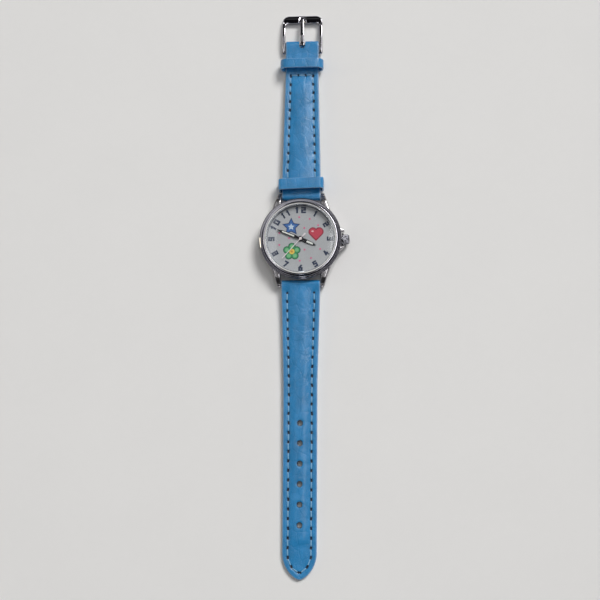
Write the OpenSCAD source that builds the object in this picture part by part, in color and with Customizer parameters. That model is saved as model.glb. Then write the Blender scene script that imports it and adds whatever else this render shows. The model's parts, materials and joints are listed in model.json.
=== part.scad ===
// Child's wristwatch with a chromed round case, a printed dial and a padded leather strap.
// It lies flat, opened out. The origin is the centre of the case back's underside,
// +Y points to twelve o'clock and the buckle, +X to the crown, +Z up through the crystal.
// All lengths are in millimetres.

/* [Case] */
// Diameter of the case middle
case_d = 28.4; // [26:0.1:31]
// Wall between the case's outside and the bore for movement and dial
case_wall = 1.2; // [1:0.05:1.4]
// Thickness of the case back
back_t = 0.9; // [0.7:0.05:1.1]
// How far the case back's edge stands in from the case
back_step = 0.2; // [0.1:0.05:0.4]
// Height of the snap rim on the case back
back_rim_h = 1; // [0.7:0.1:1.1]
// How far the bezel stands out over the case
bezel_over = 0.6; // [0.3:0.05:0.8]
// Height of the bezel's straight flank
bezel_flank_h = 0.85; // [0.6:0.05:1]
// Wall of the neck that the bezel is pressed on
neck_wall = 0.7; // [0.55:0.05:0.8]
// Height of that neck
neck_h = 1; // [0.8:0.05:1.05]
// Radius of a lug's tip about the spring bar
lug_tip_r = 1.1; // [0.9:0.05:1.3]
// Width of a lug's tip
lug_tip_w = 1.2; // [1:0.1:1.6]
// Distance from the case to a lug's spring bar
lug_reach = 2; // [1.9:0.05:2.6]

/* [Crystal and dial] */
// Thickness of the crystal
crystal_t = 1.2; // [1:0.05:1.4]
// How far the crystal stands above the bezel
crystal_proud = 0.2; // [0.1:0.05:0.3]
// Wall of the crystal gasket
gasket_t = 0.4; // [0.35:0.01:0.42]
// Space between dial and crystal
ring_h = 1.3; // [1.3:0.05:1.5]
// Width of the inner ring at the dial
inner_ring_w = 1; // [0.8:0.05:1.2]
// Thickness of the dial
dial_t = 0.4; // [0.3:0.05:0.45]
// Distance from the inner ring to the middle of an hour numeral
numeral_in = 1.4; // [1.4:0.05:1.6]
// Height of an hour numeral
numeral_h = 2.3; // [1.8:0.1:2.4]
// Width of one figure
figure_w = 1.55; // [1.1:0.05:1.6]
// Stroke of a figure
figure_stroke = 0.6; // [0.3:0.02:0.64]
// Thickness of the printed figures and motifs
print_t = 0.05; // [0.04:0.01:0.08]

/* [Hands] */
// Distance from the hour hand's tip to the inner ring
hour_hand_gap = 6; // [5:0.1:6.6]
// Greatest width of the hour hand
hour_hand_w = 1.5; // [1.2:0.05:1.8]
// Distance from the minute hand's tip to the inner ring
minute_hand_gap = 2.8; // [2.4:0.1:3.2]
// Greatest width of the minute hand
minute_hand_w = 1.2; // [1:0.05:1.4]
// Distance from the second hand's tip to the inner ring
second_hand_gap = 2.2; // [1.8:0.1:2.6]
// Width of the second hand
second_hand_w = 0.24; // [0.18:0.02:0.3]
// Thickness of a hand
hand_t = 0.15; // [0.1:0.01:0.16]
// Time shown, in minutes past twelve
time_shown = 228; // [0:1:719]
// Seconds shown
seconds_shown = 37; // [0:1:59]

/* [Crown] */
// Height of the crown's axis above the case back's underside
crown_z = 3; // [2.95:0.01:3.05]
// Diameter of the crown's flange
crown_flange_d = 4.6; // [4.2:0.1:4.8]
// Diameter of the crown's knob
crown_knob_d = 3.5; // [3.4:0.05:3.8]
// Distance from the case to the crown's inner face
crown_gap = 0.65; // [0.5:0.05:0.7]
// Length of the crown
crown_l = 2.8; // [2.7:0.05:3.2]
// Number of flutes on the knob
flutes = 24; // [16:1:32]
// Diameter of the crown tube
tube_d = 1.8; // [1.7:0.05:1.9]
// Diameter of the winding stem
stem_d = 0.9; // [0.8:0.02:0.94]
// How far the crown pulls out to set the hands
crown_pull = 0.8; // [0.6:0.05:0.85]

/* [Movement] */
// Diameter of the movement
movement_d = 19.7; // [19.5:0.05:19.8]
// Height of the movement from battery to dial seat
movement_t = 3.1; // [3.05:0.01:3.15]
// Thickness of the main plate
plate_t = 0.5; // [0.45:0.01:0.55]
// Thickness of the train bridge
bridge_t = 0.35; // [0.3:0.01:0.36]
// Diameter of the button cell
battery_d = 6.8; // [6.6:0.1:6.9]
// Thickness of the button cell
battery_t = 2.6; // [2.4:0.1:2.6]
// Diameter of the coil
coil_d = 2.2; // [2:0.05:2.25]
// Length of the coil
coil_l = 6.4; // [6:0.1:6.6]

/* [Gear train] */
// Module of the train's teeth
train_module = 0.08; // [0.076:0.001:0.081]
// Thickness of a wheel
wheel_t = 0.13; // [0.1:0.01:0.14]

/* [Spring bars] */
// Diameter of a spring bar's tube
bar_tube_d = 1.3; // [1.2:0.05:1.5]
// Diameter of a spring bar's pin
bar_pin_d = 0.8; // [0.7:0.02:0.84]
// How deep a pin sits in its lug
bar_pin_reach = 0.75; // [0.6:0.05:0.8]

/* [Strap] */
// Width of the strap between the lugs
strap_lug_w = 14; // [13.4:0.1:14]
// Width of the strap at the buckle and the tip
strap_end_w = 12.2; // [11.8:0.1:12.4]
// Thickness of the strap at the lugs
strap_lug_t = 3; // [2.8:0.05:3.1]
// Thickness of the strap at the buckle
strap_buckle_t = 2.4; // [2.2:0.05:2.5]
// Thickness of the strap at its tip
strap_tip_t = 1.9; // [1.8:0.05:2.1]
// Thickness of the lining
lining_t = 0.7; // [0.5:0.05:0.8]
// Thickness of the top leather over the padding
leather_t = 0.8; // [0.6:0.05:0.85]
// How far the padding rises above the sewn border
pad_rise = 0.45; // [0.3:0.05:0.5]
// Width of the sewn border
border_w = 2.9; // [2.8:0.1:3.2]
// Length of the buckle piece from bar to bar
upper_strap_l = 58; // [54:0.2:64]
// Length of the tip piece from its bar
lower_strap_l = 104.5; // [102:0.5:112]
// Length of the strap's pointed nose
nose_l = 9.8; // [9:0.1:13]
// Distance from the tip piece's bar to the first buckle hole
first_hole_l = 49.8; // [46:0.1:52]
// Distance between buckle holes
hole_pitch = 7.12; // [6.8:0.02:7.4]
// Number of buckle holes
hole_count = 6; // [4:1:6]
// Diameter of a buckle hole
hole_d = 1.75; // [1.5:0.05:2]

/* [Stitching] */
// Distance from one stitch to the next
stitch_pitch = 3.3; // [3:0.05:3.6]
// Length of a stitch
stitch_l = 2.3; // [2:0.05:2.5]
// Width of the thread
thread_w = 0.42; // [0.3:0.02:0.5]
// Height of the thread above the leather
thread_h = 0.2; // [0.15:0.01:0.25]
// Distance from the strap's edge to the stitches
stitch_inset = 2; // [1.7:0.05:2.2]

/* [Keepers] */
// Thickness of a keeper's leather
keeper_t = 0.65; // [0.55:0.05:0.7]
// Length of the free keeper along the strap
free_keeper_l = 4.1; // [3.6:0.1:5]
// Length of the fixed keeper along the strap
fixed_keeper_l = 3.5; // [3:0.1:4]
// Room in a keeper for the other strap piece
keeper_room = 2.1; // [2:0.05:2.3]
// Distance from the lugs' bar to the middle of the free keeper
free_keeper_in = 4.05; // [4.05:0.05:20]
// Distance from the buckle's bar to the middle of the fixed keeper
fixed_keeper_in = 8.3; // [7:0.1:9]

/* [Buckle] */
// Width of the buckle
buckle_w = 14.9; // [14.8:0.1:15.4]
// Distance from the buckle's bar to its outer edge
buckle_reach = 11.5; // [10.6:0.1:12.2]
// Width of the outer bar
buckle_bar_w = 3; // [2.6:0.1:3.2]
// Thickness of the frame
buckle_t = 1.5; // [1.4:0.05:1.6]
// Length of the arms behind the bar
arm_tail = 3.6; // [3:0.1:3.8]
// Width of the tongue
tongue_w = 1.5; // [1.3:0.05:1.6]
// Thickness of the tongue
tongue_t = 0.8; // [0.7:0.02:0.85]
// Width of the slot in the strap for the tongue
tongue_slot_w = 2.3; // [2.1:0.05:2.4]

/* [Hidden] */
$fn = 64;

// Overrun of a cutting shape past the face that it cuts
cut = 0.5;
// Radial clearance of a turning fit
run_fit = 0.05;
// Radial clearance of a fine pivot in its hole
pivot_fit = 0.03;
// Clearance of a piece that lies in its seat
seat_fit = 0.1;

// Radii that several pieces share
case_r = case_d / 2;
back_r = case_r - back_step;
bore_r = case_r - case_wall;
neck_r = bore_r + neck_wall;
bezel_r = case_r + bezel_over;
gasket_r = bore_r - run_fit;
crystal_r = gasket_r - gasket_t;
dial_view_r = bore_r - inner_ring_w;
movement_r = movement_d / 2;
tube_r = tube_d / 2;
stem_r = stem_d / 2;

// Heights, from the case back up to the crystal
back_gap = 0.3;
battery_z = back_t + back_gap;
dial_seat_z = battery_z + movement_t;
dial_top_z = dial_seat_z + dial_t;
case_over_dial = 0.25;
case_top_z = dial_top_z + case_over_dial;
neck_top_z = case_top_z + neck_h;
crystal_z = dial_top_z + ring_h;
bezel_top_z = crystal_z + crystal_t - crystal_proud;

// Heights of the hands
hand_gap = 0.15;
hour_hand_z = dial_top_z + case_over_dial;
minute_hand_z = hour_hand_z + hand_t + hand_gap;
second_hand_z = minute_hand_z + hand_t + hand_gap;
hand_hub_proud = 0.06;

// Heights in the movement. A wheel of level k lies k pitches below the main plate
plate_rim_h = 0.65;
plate_top_z = dial_seat_z - plate_rim_h;
plate_z = plate_top_z - plate_t;
level_pitch = 0.3;
pinion_over = 0.05;
bridge_gap = 0.1;
bridge_top_z = plate_z - 4 * level_pitch - bridge_gap;
bridge_z = bridge_top_z - bridge_t;
pivot_r = 0.1;
pivot_l = 0.25;

// The case's small sizes
case_chamfer = 0.4;
lug_play = 0.15;
lug_gap = strap_lug_w + 2 * lug_play;
lug_bar_y = case_r + lug_reach;
lug_root_turn = 36.8;
lug_root_x = case_r * cos(lug_root_turn);
lug_root_y = case_r * sin(lug_root_turn);
lug_low_z = back_t + seat_fit;
lug_shoulder_in = 1.8;
lug_shoulder_drop = 0.35;
groove_in = 0.1;
groove_w = 0.55;
groove_h = 0.25;
rim_t = 0.8;
rim_fit = 0.03;
pry_notch_w = 3;
pry_notch_depth = 0.5;
bezel_foot = 0.25;
bezel_step = 0.35;
bezel_step_h = 0.15;
bezel_slope_h = 0.3;
bezel_lip_w = 0.45;
bezel_lip_drop = 0.08;
crystal_bevel = 0.3;
ring_flare = 0.45;

// Crown guards beside the crown
guard_play = 0.25;
guard_in = crown_flange_d / 2 + guard_play;
guard_reach = 1.5;
guard_tip_w = 0.35;
guard_root_w = 2.6;
guard_low_z = 1.4;
guard_slope = 0.2;

// Crown and its tube
crown_flange_t = 0.55;
crown_in = case_r + crown_gap;
oring_w = 0.52;
tube_out = crown_in + crown_pull + 3 / 2 * oring_w;
crown_recess_l = tube_out - crown_in + seat_fit;
oring_y = tube_r + oring_w / 2 + run_fit / 2;
flute_r = 0.2;
crown_dome_h = 0.35;
stem_in = 5.6;
stem_seat_l = 0.45;
stem_groove_x = 8.2;
stem_groove_l = 0.5;
stem_groove_r = 0.28;
lever_play = 0.05;
lever_w = 1.7;
lever_h = 1.4;
clutch_x = 6;
clutch_l = 1;
clutch_r = 0.75;
clutch_teeth = 12;

// The movement's small sizes
rim_w = 1.2;
ring_seat_gap = 0.05;
ring_low_gap = 0.1;
keyless_x = 5.2;
keyless_w = 2.8;
stem_slot_w = 1.5;
coil_centre = [-2.8, 6.4];
core_over = 0.9;
core_w = 1;
leg_w = core_over - seat_fit;
core_t = 0.65;
stator_t = 0.3;
stator_low = 0.68;
stator_y = 2.35;
stator_w = 1.6;
rotor_hole_r = 0.65;
magnet_r = 0.5;
magnet_t = 0.65;
window_play = 0.35;
battery_place = [-3.5, -5];
battery_play = 0.1;
pillar_places = [[5.6, 5.2], [-7.9, -0.4], [2.2, -7]];
pillar_r = 0.8;
screw_r = 0.35;
screw_head_r = 0.7;
screw_head_t = 0.3;
screw_slot_w = 0.2;
foot_r = 0.35;
foot_l = 0.7;
foot_turns = [40, 190];
foot_circle_r = 9.2;
board_t = 0.2;
board_in = [0.6, -2.4];
board_r = 9.3;
chip_r = 1.1;
chip_t = 0.22;
chip_place = [6, -4.3];
can_r = 0.55;
can_l = 3.8;
can_place = [3.6, -5.3];
clip_t = 0.15;
clip_r = 1.6;
clip_w = 1;

// The train. Angles are seen from above, counted from the crown
tooth_shares = [[-0.24, -1.15], [-0.11, 0.85], [0.11, 0.85], [0.24, -1.15]];
// Numbers of teeth: the joints' couplings follow from them, so they stay as they are
rotor_teeth = 9;
fifth_teeth = 36;
fourth_teeth = 60;
third_teeth = 60;
centre_teeth = 64;
pinion_teeth = 8;
cannon_teeth = 12;
minute_teeth = 36;
minute_pinion_teeth = 10;
hour_teeth = 40;
third_turn = -20;
fifth_turn = 150;
rotor_turn = 95;
minute_turn = 60;
train_reach = train_module * (third_teeth + pinion_teeth) / 2;
centre_module = 2 * train_reach / (centre_teeth + pinion_teeth);
rotor_reach = train_module * (fifth_teeth + rotor_teeth) / 2;
minute_reach = train_module * (cannon_teeth + minute_teeth) / 2;
hour_module = 2 * minute_reach / (minute_pinion_teeth + hour_teeth);
third_place = train_reach * [cos(third_turn), sin(third_turn)];
fifth_place = train_reach * [cos(fifth_turn), sin(fifth_turn)];
rotor_place = fifth_place + rotor_reach * [cos(rotor_turn), sin(rotor_turn)];
minute_place = minute_reach * [cos(minute_turn), sin(minute_turn)];
arbor_r = 0.13;
pipe_r = 0.3;
cannon_r = 0.46;
hour_pipe_wall = 0.2;
hour_bore_r = cannon_r + run_fit;
hour_pipe_r = hour_bore_r + hour_pipe_wall;
post_r = 0.18;
cannon_rise = 0.07;
cannon_tooth_h = 0.22;
minute_rise = 0.11;
minute_pinion_h = 0.3;
hour_rise = 0.35;
dial_hole_r = hour_pipe_r + seat_fit;

// Hands: shares of length and of half width, from the hub to the tip
hand_shares = [[0.05, 0.5], [0.26, 1], [0.8, 0.72], [1, 0.08]];
lume_width_shares = [0.46, 0.36];
hour_hand_l = dial_view_r - hour_hand_gap;
minute_hand_l = dial_view_r - minute_hand_gap;
second_hand_l = dial_view_r - second_hand_gap;
hour_lume_shares = [0.4, 0.817];
minute_lume_shares = [0.272, 0.783];
hour_hub_r = 1;
minute_hub_r = 0.85;
second_hub_r = 0.5;
second_tail_l = 2.6;
second_tail_w = 0.5;
minute_angle = 90 - 6 * (time_shown % 60) - seconds_shown / 10;
hour_angle = 90 - time_shown / 2;
second_angle = 90 - 6 * seconds_shown;

// Dial print: strokes of a figure, as shares of its width and height
figure_shares = [
    [[0, 0, 0, 1], [0, 1, 1, 1], [1, 1, 1, 0], [1, 0, 0, 0]],
    [[0.5, 0, 0.5, 1], [0.12, 0.82, 0.5, 1]],
    [[0, 1, 1, 1], [1, 1, 1, 0.52], [1, 0.52, 0, 0.52], [0, 0.52, 0, 0], [0, 0, 1, 0]],
    [[0, 1, 1, 1], [1, 1, 1, 0], [1, 0, 0, 0], [0.3, 0.5, 1, 0.5]],
    [[0.75, 0, 0.75, 1], [0.75, 1, 0, 0.35], [0, 0.35, 1, 0.35]],
    [[1, 1, 0, 1], [0, 1, 0, 0.55], [0, 0.55, 1, 0.55], [1, 0.55, 1, 0], [1, 0, 0, 0]],
    [[0.75, 1, 0, 0.5], [0, 0.5, 0, 0], [0, 0, 1, 0], [1, 0, 1, 0.5], [1, 0.5, 0, 0.5]],
    [[0, 1, 1, 1], [1, 1, 0.35, 0]],
    [[0, 0, 0, 1], [0, 1, 1, 1], [1, 1, 1, 0], [1, 0, 0, 0], [0, 0.5, 1, 0.5]],
    [[0, 0, 1, 0], [1, 0, 1, 1], [1, 1, 0, 1], [0, 1, 0, 0.5], [0, 0.5, 1, 0.5]]];
figure_gap = 0.75;
thin_one_share = 0.62;
wide_share = 1.15;
numeral_r = dial_view_r - numeral_in;
motif_r = 0.467 * dial_view_r;
star_r = 0.285 * dial_view_r;
flower_r = 0.27 * dial_view_r;
heart_w = 0.46 * dial_view_r;
star_turn = 128;
flower_turn = 236;
heart_turn = 8;
star_waist_share = 0.5;
petals = 5;
petal_share = 0.42;
petal_place_share = 0.58;
dot_r = 0.03 * dial_view_r;
dot_circle_r = 0.667 * dial_view_r;
dot_turns = [38, 66, 94, 164, 196, 268, 298, 332];
inner_dot_circle_r = 0.35 * dial_view_r;
inner_dot_turns = [72, 176, 290];

// The strap lies on the floor's plane but for the part that the keepers lift
keeper_play = 0.1;
strap_low_z = keeper_t + keeper_play;
lug_loop_r = strap_lug_t / 2;
buckle_loop_r = strap_buckle_t / 2;
lug_bar_z = strap_low_z + lug_loop_r;
buckle_bar_z = strap_low_z + buckle_loop_r;
bar_tube_r = bar_tube_d / 2;
bar_pin_r = bar_pin_d / 2;
pin_fit = 0.02;
pin_in = 3.6;
spring_wire_r = 0.08;
spring_turns = 7;
spring_steps = 8;
spring_sides = 6;
drape_in = 11.8;
drape_y = lug_bar_y + drape_in;
buckle_bar_y = lug_bar_y + upper_strap_l;
strap_tip_y = lug_bar_y + lower_strap_l;
first_hole_y = lug_bar_y + first_hole_l;
free_keeper_y = lug_bar_y + free_keeper_in;
fixed_keeper_y = buckle_bar_y - fixed_keeper_in;
drape_t = 2.85;
upper_stations = [[lug_bar_y, strap_low_z, strap_low_z + strap_lug_t],
    [buckle_bar_y, strap_low_z, strap_low_z + strap_buckle_t]];
lower_stations = [[lug_bar_y, strap_low_z, strap_low_z + strap_lug_t],
    [drape_y, 0, drape_t], [strap_tip_y, 0, strap_tip_t]];
upper_taper_in = 8.8;
upper_taper_l = 37;
lower_taper_in = 35.8;
upper_taper_y = [lug_bar_y + upper_taper_in, lug_bar_y + upper_taper_in + upper_taper_l];
lower_taper_y = [lug_bar_y + lug_loop_r, lug_bar_y + lower_taper_in];
lug_half = strap_lug_w / 2;
end_half = strap_end_w / 2;
pad_half = lug_half - border_w;
pad_crown_r = (pad_half * pad_half + pad_rise * pad_rise) / (2 * pad_rise);
nose_pad_in = 11.9;
filler_play = 0.3;
nose_blunt = 0.3;
nose_y = strap_tip_y - nose_l;
cross_stitch_in = 12.1;
cross_stitch_y = buckle_bar_y - cross_stitch_in;
stitch_start_in = 3.2;
stitch_start_y = lug_bar_y + stitch_start_in;
upper_pad_end_y = cross_stitch_y - border_w + stitch_inset;
lower_pad_end_y = strap_tip_y - nose_pad_in;
stitch_lift = 0.01;
cross_stitches = 3;
slot_depth = 1.7;

// Keepers and buckle
keeper_corner_r = 1.5;
keeper_side_play = 0.55;
fixed_side_play = 1.2;
arm_play = 0.2;
arm_in = end_half + arm_play;
buckle_corner_r = 2.6;
window_corner_r = 1.3;
buckle_bend_r = 30;
buckle_rest_gap = 0.05;
tail_taper = 0.6;
notch_play = 0.15;
notch_depth = 0.6;
tongue_seat = 0.05;
tongue_short = 1;
tongue_eye_t = 0.4;
bar_end_play = 0.05;

chrome = "#8f8d96";
gold_tone = "#b59a5a";
brass = "#c7a552";
dark_steel = "#3a3b40";
sky_leather = "#4b8fc4";
pale_leather = "#9db9c9";
thread_blue = "#6fb2dd";
ink = "#14202e";

// A ring or disc from one height to another
module ring(r_out, r_in, z_low, z_high) {
    translate([0, 0, z_low])
        difference() {
            cylinder(h = z_high - z_low, r = r_out);
            if (r_in > 0)
                translate([0, 0, -cut]) cylinder(h = z_high - z_low + 2 * cut, r = r_in);
        }
}

// A round bar along X between two places
module bar_x(r, x_low, x_high) {
    translate([x_low, 0, 0]) rotate([0, 90, 0]) cylinder(h = x_high - x_low, r = r);
}

// Carries an outline in Y and Z across the width, centred on X = 0
module across(width) {
    translate([-width / 2, 0, 0]) rotate([90, 0, 90]) linear_extrude(width) children();
}

// Carries an outline in X and Z along the strap, from one Y to another
module along(y_low, y_high) {
    translate([0, y_high, 0]) rotate([90, 0, 0]) linear_extrude(y_high - y_low) children();
}

module block(low, high) {
    translate(low) cube(high - low);
}

module rounded_square(width, height, r) {
    square([width - 2 * r, height], center = true);
    square([width, height - 2 * r], center = true);
    for (x = [-1, 1], y = [-1, 1])
        translate([x * (width / 2 - r), y * (height / 2 - r)]) circle(r = r);
}

// Case

module case_back() {
    color(chrome) difference() {
        union() {
            rotate_extrude() polygon([[0, 0], [back_r - case_chamfer, 0],
                [back_r, case_chamfer], [back_r, back_t], [0, back_t]]);
            ring(bore_r - rim_fit, bore_r - rim_t, back_t - rim_fit, back_t + back_rim_h);
        }
        rotate([0, 0, 225])
            block([back_r - pry_notch_depth, -pry_notch_w / 2, back_t - pry_notch_depth],
                [back_r + cut, pry_notch_w / 2, back_t + cut]);
    }
}

module back_gasket() {
    color(dark_steel)
        ring(bore_r + groove_in + groove_w, bore_r + groove_in, back_t, back_t + groove_h - pin_fit);
}

module lug_outline() {
    polygon([[lug_root_y, lug_low_z], [lug_bar_y, lug_bar_z - lug_tip_r],
        [lug_bar_y, lug_bar_z + lug_tip_r],
        [lug_bar_y - lug_shoulder_in, case_top_z - lug_shoulder_drop], [lug_root_y, case_top_z]]);
    translate([lug_bar_y, lug_bar_z]) circle(r = lug_tip_r);
}

module lug() {
    tip_y = lug_bar_y + lug_tip_r;
    intersection() {
        across(2 * bezel_r) lug_outline();
        linear_extrude(case_top_z)
            polygon([[lug_gap / 2, lug_root_y], [lug_root_x, lug_root_y],
                [lug_gap / 2 + lug_tip_w, tip_y], [lug_gap / 2, tip_y]]);
    }
}

module crown_guards() {
    root_x = bore_r + seat_fit;
    for (side = [0, 1])
        mirror([0, side, 0]) translate([0, 0, guard_low_z])
            linear_extrude(case_top_z - guard_low_z)
                polygon([[root_x, guard_in], [case_r + guard_reach, guard_in + guard_slope],
                    [case_r + guard_reach, guard_in + guard_slope + guard_tip_w],
                    [root_x, guard_in + guard_root_w]]);
}

module case_body() {
    color(chrome) difference() {
        union() {
            rotate_extrude() polygon([[bore_r, back_t], [case_r - case_chamfer, back_t],
                [case_r, back_t + case_chamfer], [case_r, case_top_z], [neck_r, case_top_z],
                [neck_r, neck_top_z], [bore_r, neck_top_z]]);
            for (x = [0, 1], y = [0, 1])
                mirror([x, 0, 0]) mirror([0, y, 0]) lug();
            crown_guards();
        }
        cylinder(h = bezel_top_z, r = bore_r);
        ring(bore_r + groove_in + groove_w, bore_r + groove_in, back_t - cut, back_t + groove_h);
        translate([0, 0, crown_z]) bar_x(tube_r, 0, case_r + cut);
        for (side = [-1, 1])
            translate([0, side * lug_bar_y, lug_bar_z])
                bar_x(bar_pin_r + pin_fit, -lug_gap / 2 - bar_pin_reach - run_fit,
                    lug_gap / 2 + bar_pin_reach + run_fit);
    }
}

module bezel() {
    color(chrome) rotate_extrude()
        polygon([[neck_r, case_top_z], [bezel_r - bezel_foot, case_top_z],
            [bezel_r, case_top_z + bezel_foot], [bezel_r, case_top_z + bezel_flank_h],
            [bezel_r - bezel_step, case_top_z + bezel_flank_h + bezel_step_h],
            [bezel_r - bezel_step, case_top_z + bezel_flank_h + bezel_slope_h],
            [gasket_r + bezel_lip_w, bezel_top_z - bezel_lip_drop],
            [gasket_r + bezel_lip_drop, bezel_top_z], [gasket_r, bezel_top_z - bezel_lip_drop],
            [gasket_r, neck_top_z], [neck_r, neck_top_z]]);
}

module crystal() {
    color("#dfe8ee", 0.3) rotate_extrude()
        polygon([[0, crystal_z], [crystal_r, crystal_z],
            [crystal_r, crystal_z + crystal_t - crystal_bevel],
            [crystal_r - crystal_bevel, crystal_z + crystal_t], [0, crystal_z + crystal_t]]);
}

module crystal_gasket() {
    color(dark_steel) ring(gasket_r, crystal_r, crystal_z, bezel_top_z - crystal_bevel);
}

module inner_ring() {
    ring_r = bore_r - seat_fit;
    color("silver") rotate_extrude()
        polygon([[dial_view_r, dial_top_z], [ring_r, dial_top_z], [ring_r, crystal_z],
            [dial_view_r + ring_flare, crystal_z]]);
}

// Dial and its print

module dial() {
    color("#d9dbe0") {
        ring(bore_r - 2 * seat_fit, dial_hole_r, dial_seat_z, dial_top_z);
        for (turn = foot_turns)
            rotate([0, 0, turn]) translate([foot_circle_r, 0, dial_seat_z - foot_l])
                cylinder(h = foot_l, r = foot_r);
    }
}

module stroke(from, to) {
    run = to - from;
    translate(from) rotate(atan2(run[1], run[0]))
        translate([-figure_stroke / 2, -figure_stroke / 2])
            square([norm(run) + figure_stroke, figure_stroke]);
}

module figure(digit) {
    width = (figure_w - figure_stroke) * (digit == 1 ? thin_one_share : 1);
    height = numeral_h - figure_stroke;
    for (s = figure_shares[digit])
        stroke([(s[0] - 1 / 2) * width, (s[1] - 1 / 2) * height],
            [(s[2] - 1 / 2) * width, (s[3] - 1 / 2) * height]);
}

module numeral(hour) {
    if (hour < 10) figure(hour);
    else {
        share = hour == 11 ? 1 : wide_share;
        scale([share, 1]) {
            translate([-figure_w * figure_gap, 0]) figure(1);
            translate([figure_w * figure_gap - figure_stroke / 2, 0]) figure(hour - 10);
        }
    }
}

module printed() {
    translate([0, 0, dial_top_z]) linear_extrude(print_t) children();
}

module dial_numerals() {
    color(ink) printed()
        for (hour = [1:12])
            rotate(-30 * hour) translate([0, numeral_r])
                rotate(hour > 3 && hour < 9 ? 180 : 0) numeral(hour);
}

module dial_star() {
    color("#16407c") printed()
        translate(motif_r * [cos(star_turn), sin(star_turn)])
            polygon([for (i = [0:9]) (i % 2 == 0 ? star_r : star_r * star_waist_share)
                * [cos(36 * i + 90), sin(36 * i + 90)]]);
}

module dial_flower() {
    color("#1c6a35") printed()
        translate(motif_r * [cos(flower_turn), sin(flower_turn)])
            union() {
                circle(r = flower_r * petal_place_share);
                for (i = [0:petals - 1])
                    rotate(i * 360 / petals + 90) translate([flower_r * petal_place_share, 0])
                        circle(r = flower_r * petal_share);
            }
}

module dial_heart() {
    lobe_r = heart_w / (2 + sqrt(2));
    color("#a51d2f") printed()
        translate(motif_r * [cos(heart_turn), sin(heart_turn)] - [0, lobe_r]) {
            rotate(45) square(2 * lobe_r);
            for (side = [-1, 1])
                translate([side, 3] * lobe_r / sqrt(2)) circle(r = lobe_r);
        }
}

module dial_dots() {
    color("#c24a6b") printed() {
        for (turn = dot_turns)
            rotate(turn) translate([dot_circle_r, 0]) circle(r = dot_r);
        for (turn = inner_dot_turns)
            rotate(turn) translate([inner_dot_circle_r, 0]) circle(r = dot_r);
    }
}

// Hands

module hand_outline(length, width, hub) {
    polygon(concat([for (s = hand_shares) [s[0] * length, s[1] * width / 2]],
        [for (i = [len(hand_shares) - 1:-1:0])
            [hand_shares[i][0] * length, -hand_shares[i][1] * width / 2]]));
    circle(r = hub);
}

module lume_outline(span, width) {
    near = lume_width_shares[0] * width / 2;
    far = lume_width_shares[1] * width / 2;
    polygon([[span[0], near], [span[1], far], [span[1], -far], [span[0], -near]]);
}

module hand(length, width, span, hub, hole, angle, z) {
    translate([0, 0, z]) rotate([0, 0, angle])
        difference() {
            union() {
                linear_extrude(hand_t) hand_outline(length, width, hub);
                cylinder(h = hand_t + hand_hub_proud, r = hub - hand_hub_proud);
            }
            translate([0, 0, -cut]) linear_extrude(hand_t + 2 * cut) lume_outline(span, width);
            translate([0, 0, -cut]) cylinder(h = hand_t + 2 * cut, r = hole);
        }
}

module lume(span, width, angle, z) {
    translate([0, 0, z]) rotate([0, 0, angle])
        linear_extrude(hand_t + print_t) lume_outline(span, width);
}

module hour_hand() {
    color(ink) hand(hour_hand_l, hour_hand_w, hour_lume_shares * hour_hand_l, hour_hub_r,
        hour_pipe_r, hour_angle, hour_hand_z);
}

module minute_hand() {
    color(ink) hand(minute_hand_l, minute_hand_w, minute_lume_shares * minute_hand_l, minute_hub_r,
        cannon_r, minute_angle, minute_hand_z);
}

module hour_hand_lume() {
    color("white") lume(hour_lume_shares * hour_hand_l, hour_hand_w, hour_angle, hour_hand_z);
}

module minute_hand_lume() {
    color("white") lume(minute_lume_shares * minute_hand_l, minute_hand_w, minute_angle,
        minute_hand_z);
}

module second_hand() {
    color(dark_steel) translate([0, 0, second_hand_z]) rotate([0, 0, second_angle])
        difference() {
            linear_extrude(hand_t) {
                translate([-second_tail_l, -second_hand_w / 2])
                    square([second_tail_l + second_hand_l, second_hand_w]);
                translate([-second_tail_l, -second_tail_w / 2])
                    square([second_tail_l / 2, second_tail_w]);
                circle(r = second_hub_r);
            }
            translate([0, 0, -cut]) cylinder(h = hand_t + 2 * cut, r = arbor_r);
        }
}

// Movement

function level_z(k) = plate_z - k * level_pitch;

// Turn of a second gear that puts its teeth in mesh with the first at direction phi
function meshed(phi, teeth_a, turn_a, teeth_b) =
    phi + 180 - (180 - (phi - turn_a) * teeth_a) / teeth_b;

module gear(teeth, module_size, z_low, z_high, turn) {
    translate([0, 0, z_low]) rotate([0, 0, turn]) linear_extrude(z_high - z_low)
        polygon([for (i = [0:teeth - 1], s = tooth_shares)
            module_size * (teeth / 2 + s[1])
                * [cos((i + s[0]) * 360 / teeth), sin((i + s[0]) * 360 / teeth)]]);
}

module wheel(teeth, module_size, k, turn) {
    gear(teeth, module_size, level_z(k), level_z(k) + wheel_t, turn);
}

module pinion(teeth, module_size, k, turn) {
    gear(teeth, module_size, level_z(k) - pinion_over, level_z(k) + wheel_t + pinion_over, turn);
}

module arbor() {
    ring(pivot_r, 0, bridge_top_z - pivot_l, plate_z + pivot_l);
    ring(arbor_r, 0, bridge_top_z + pinion_over, plate_z - pinion_over);
}

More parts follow.
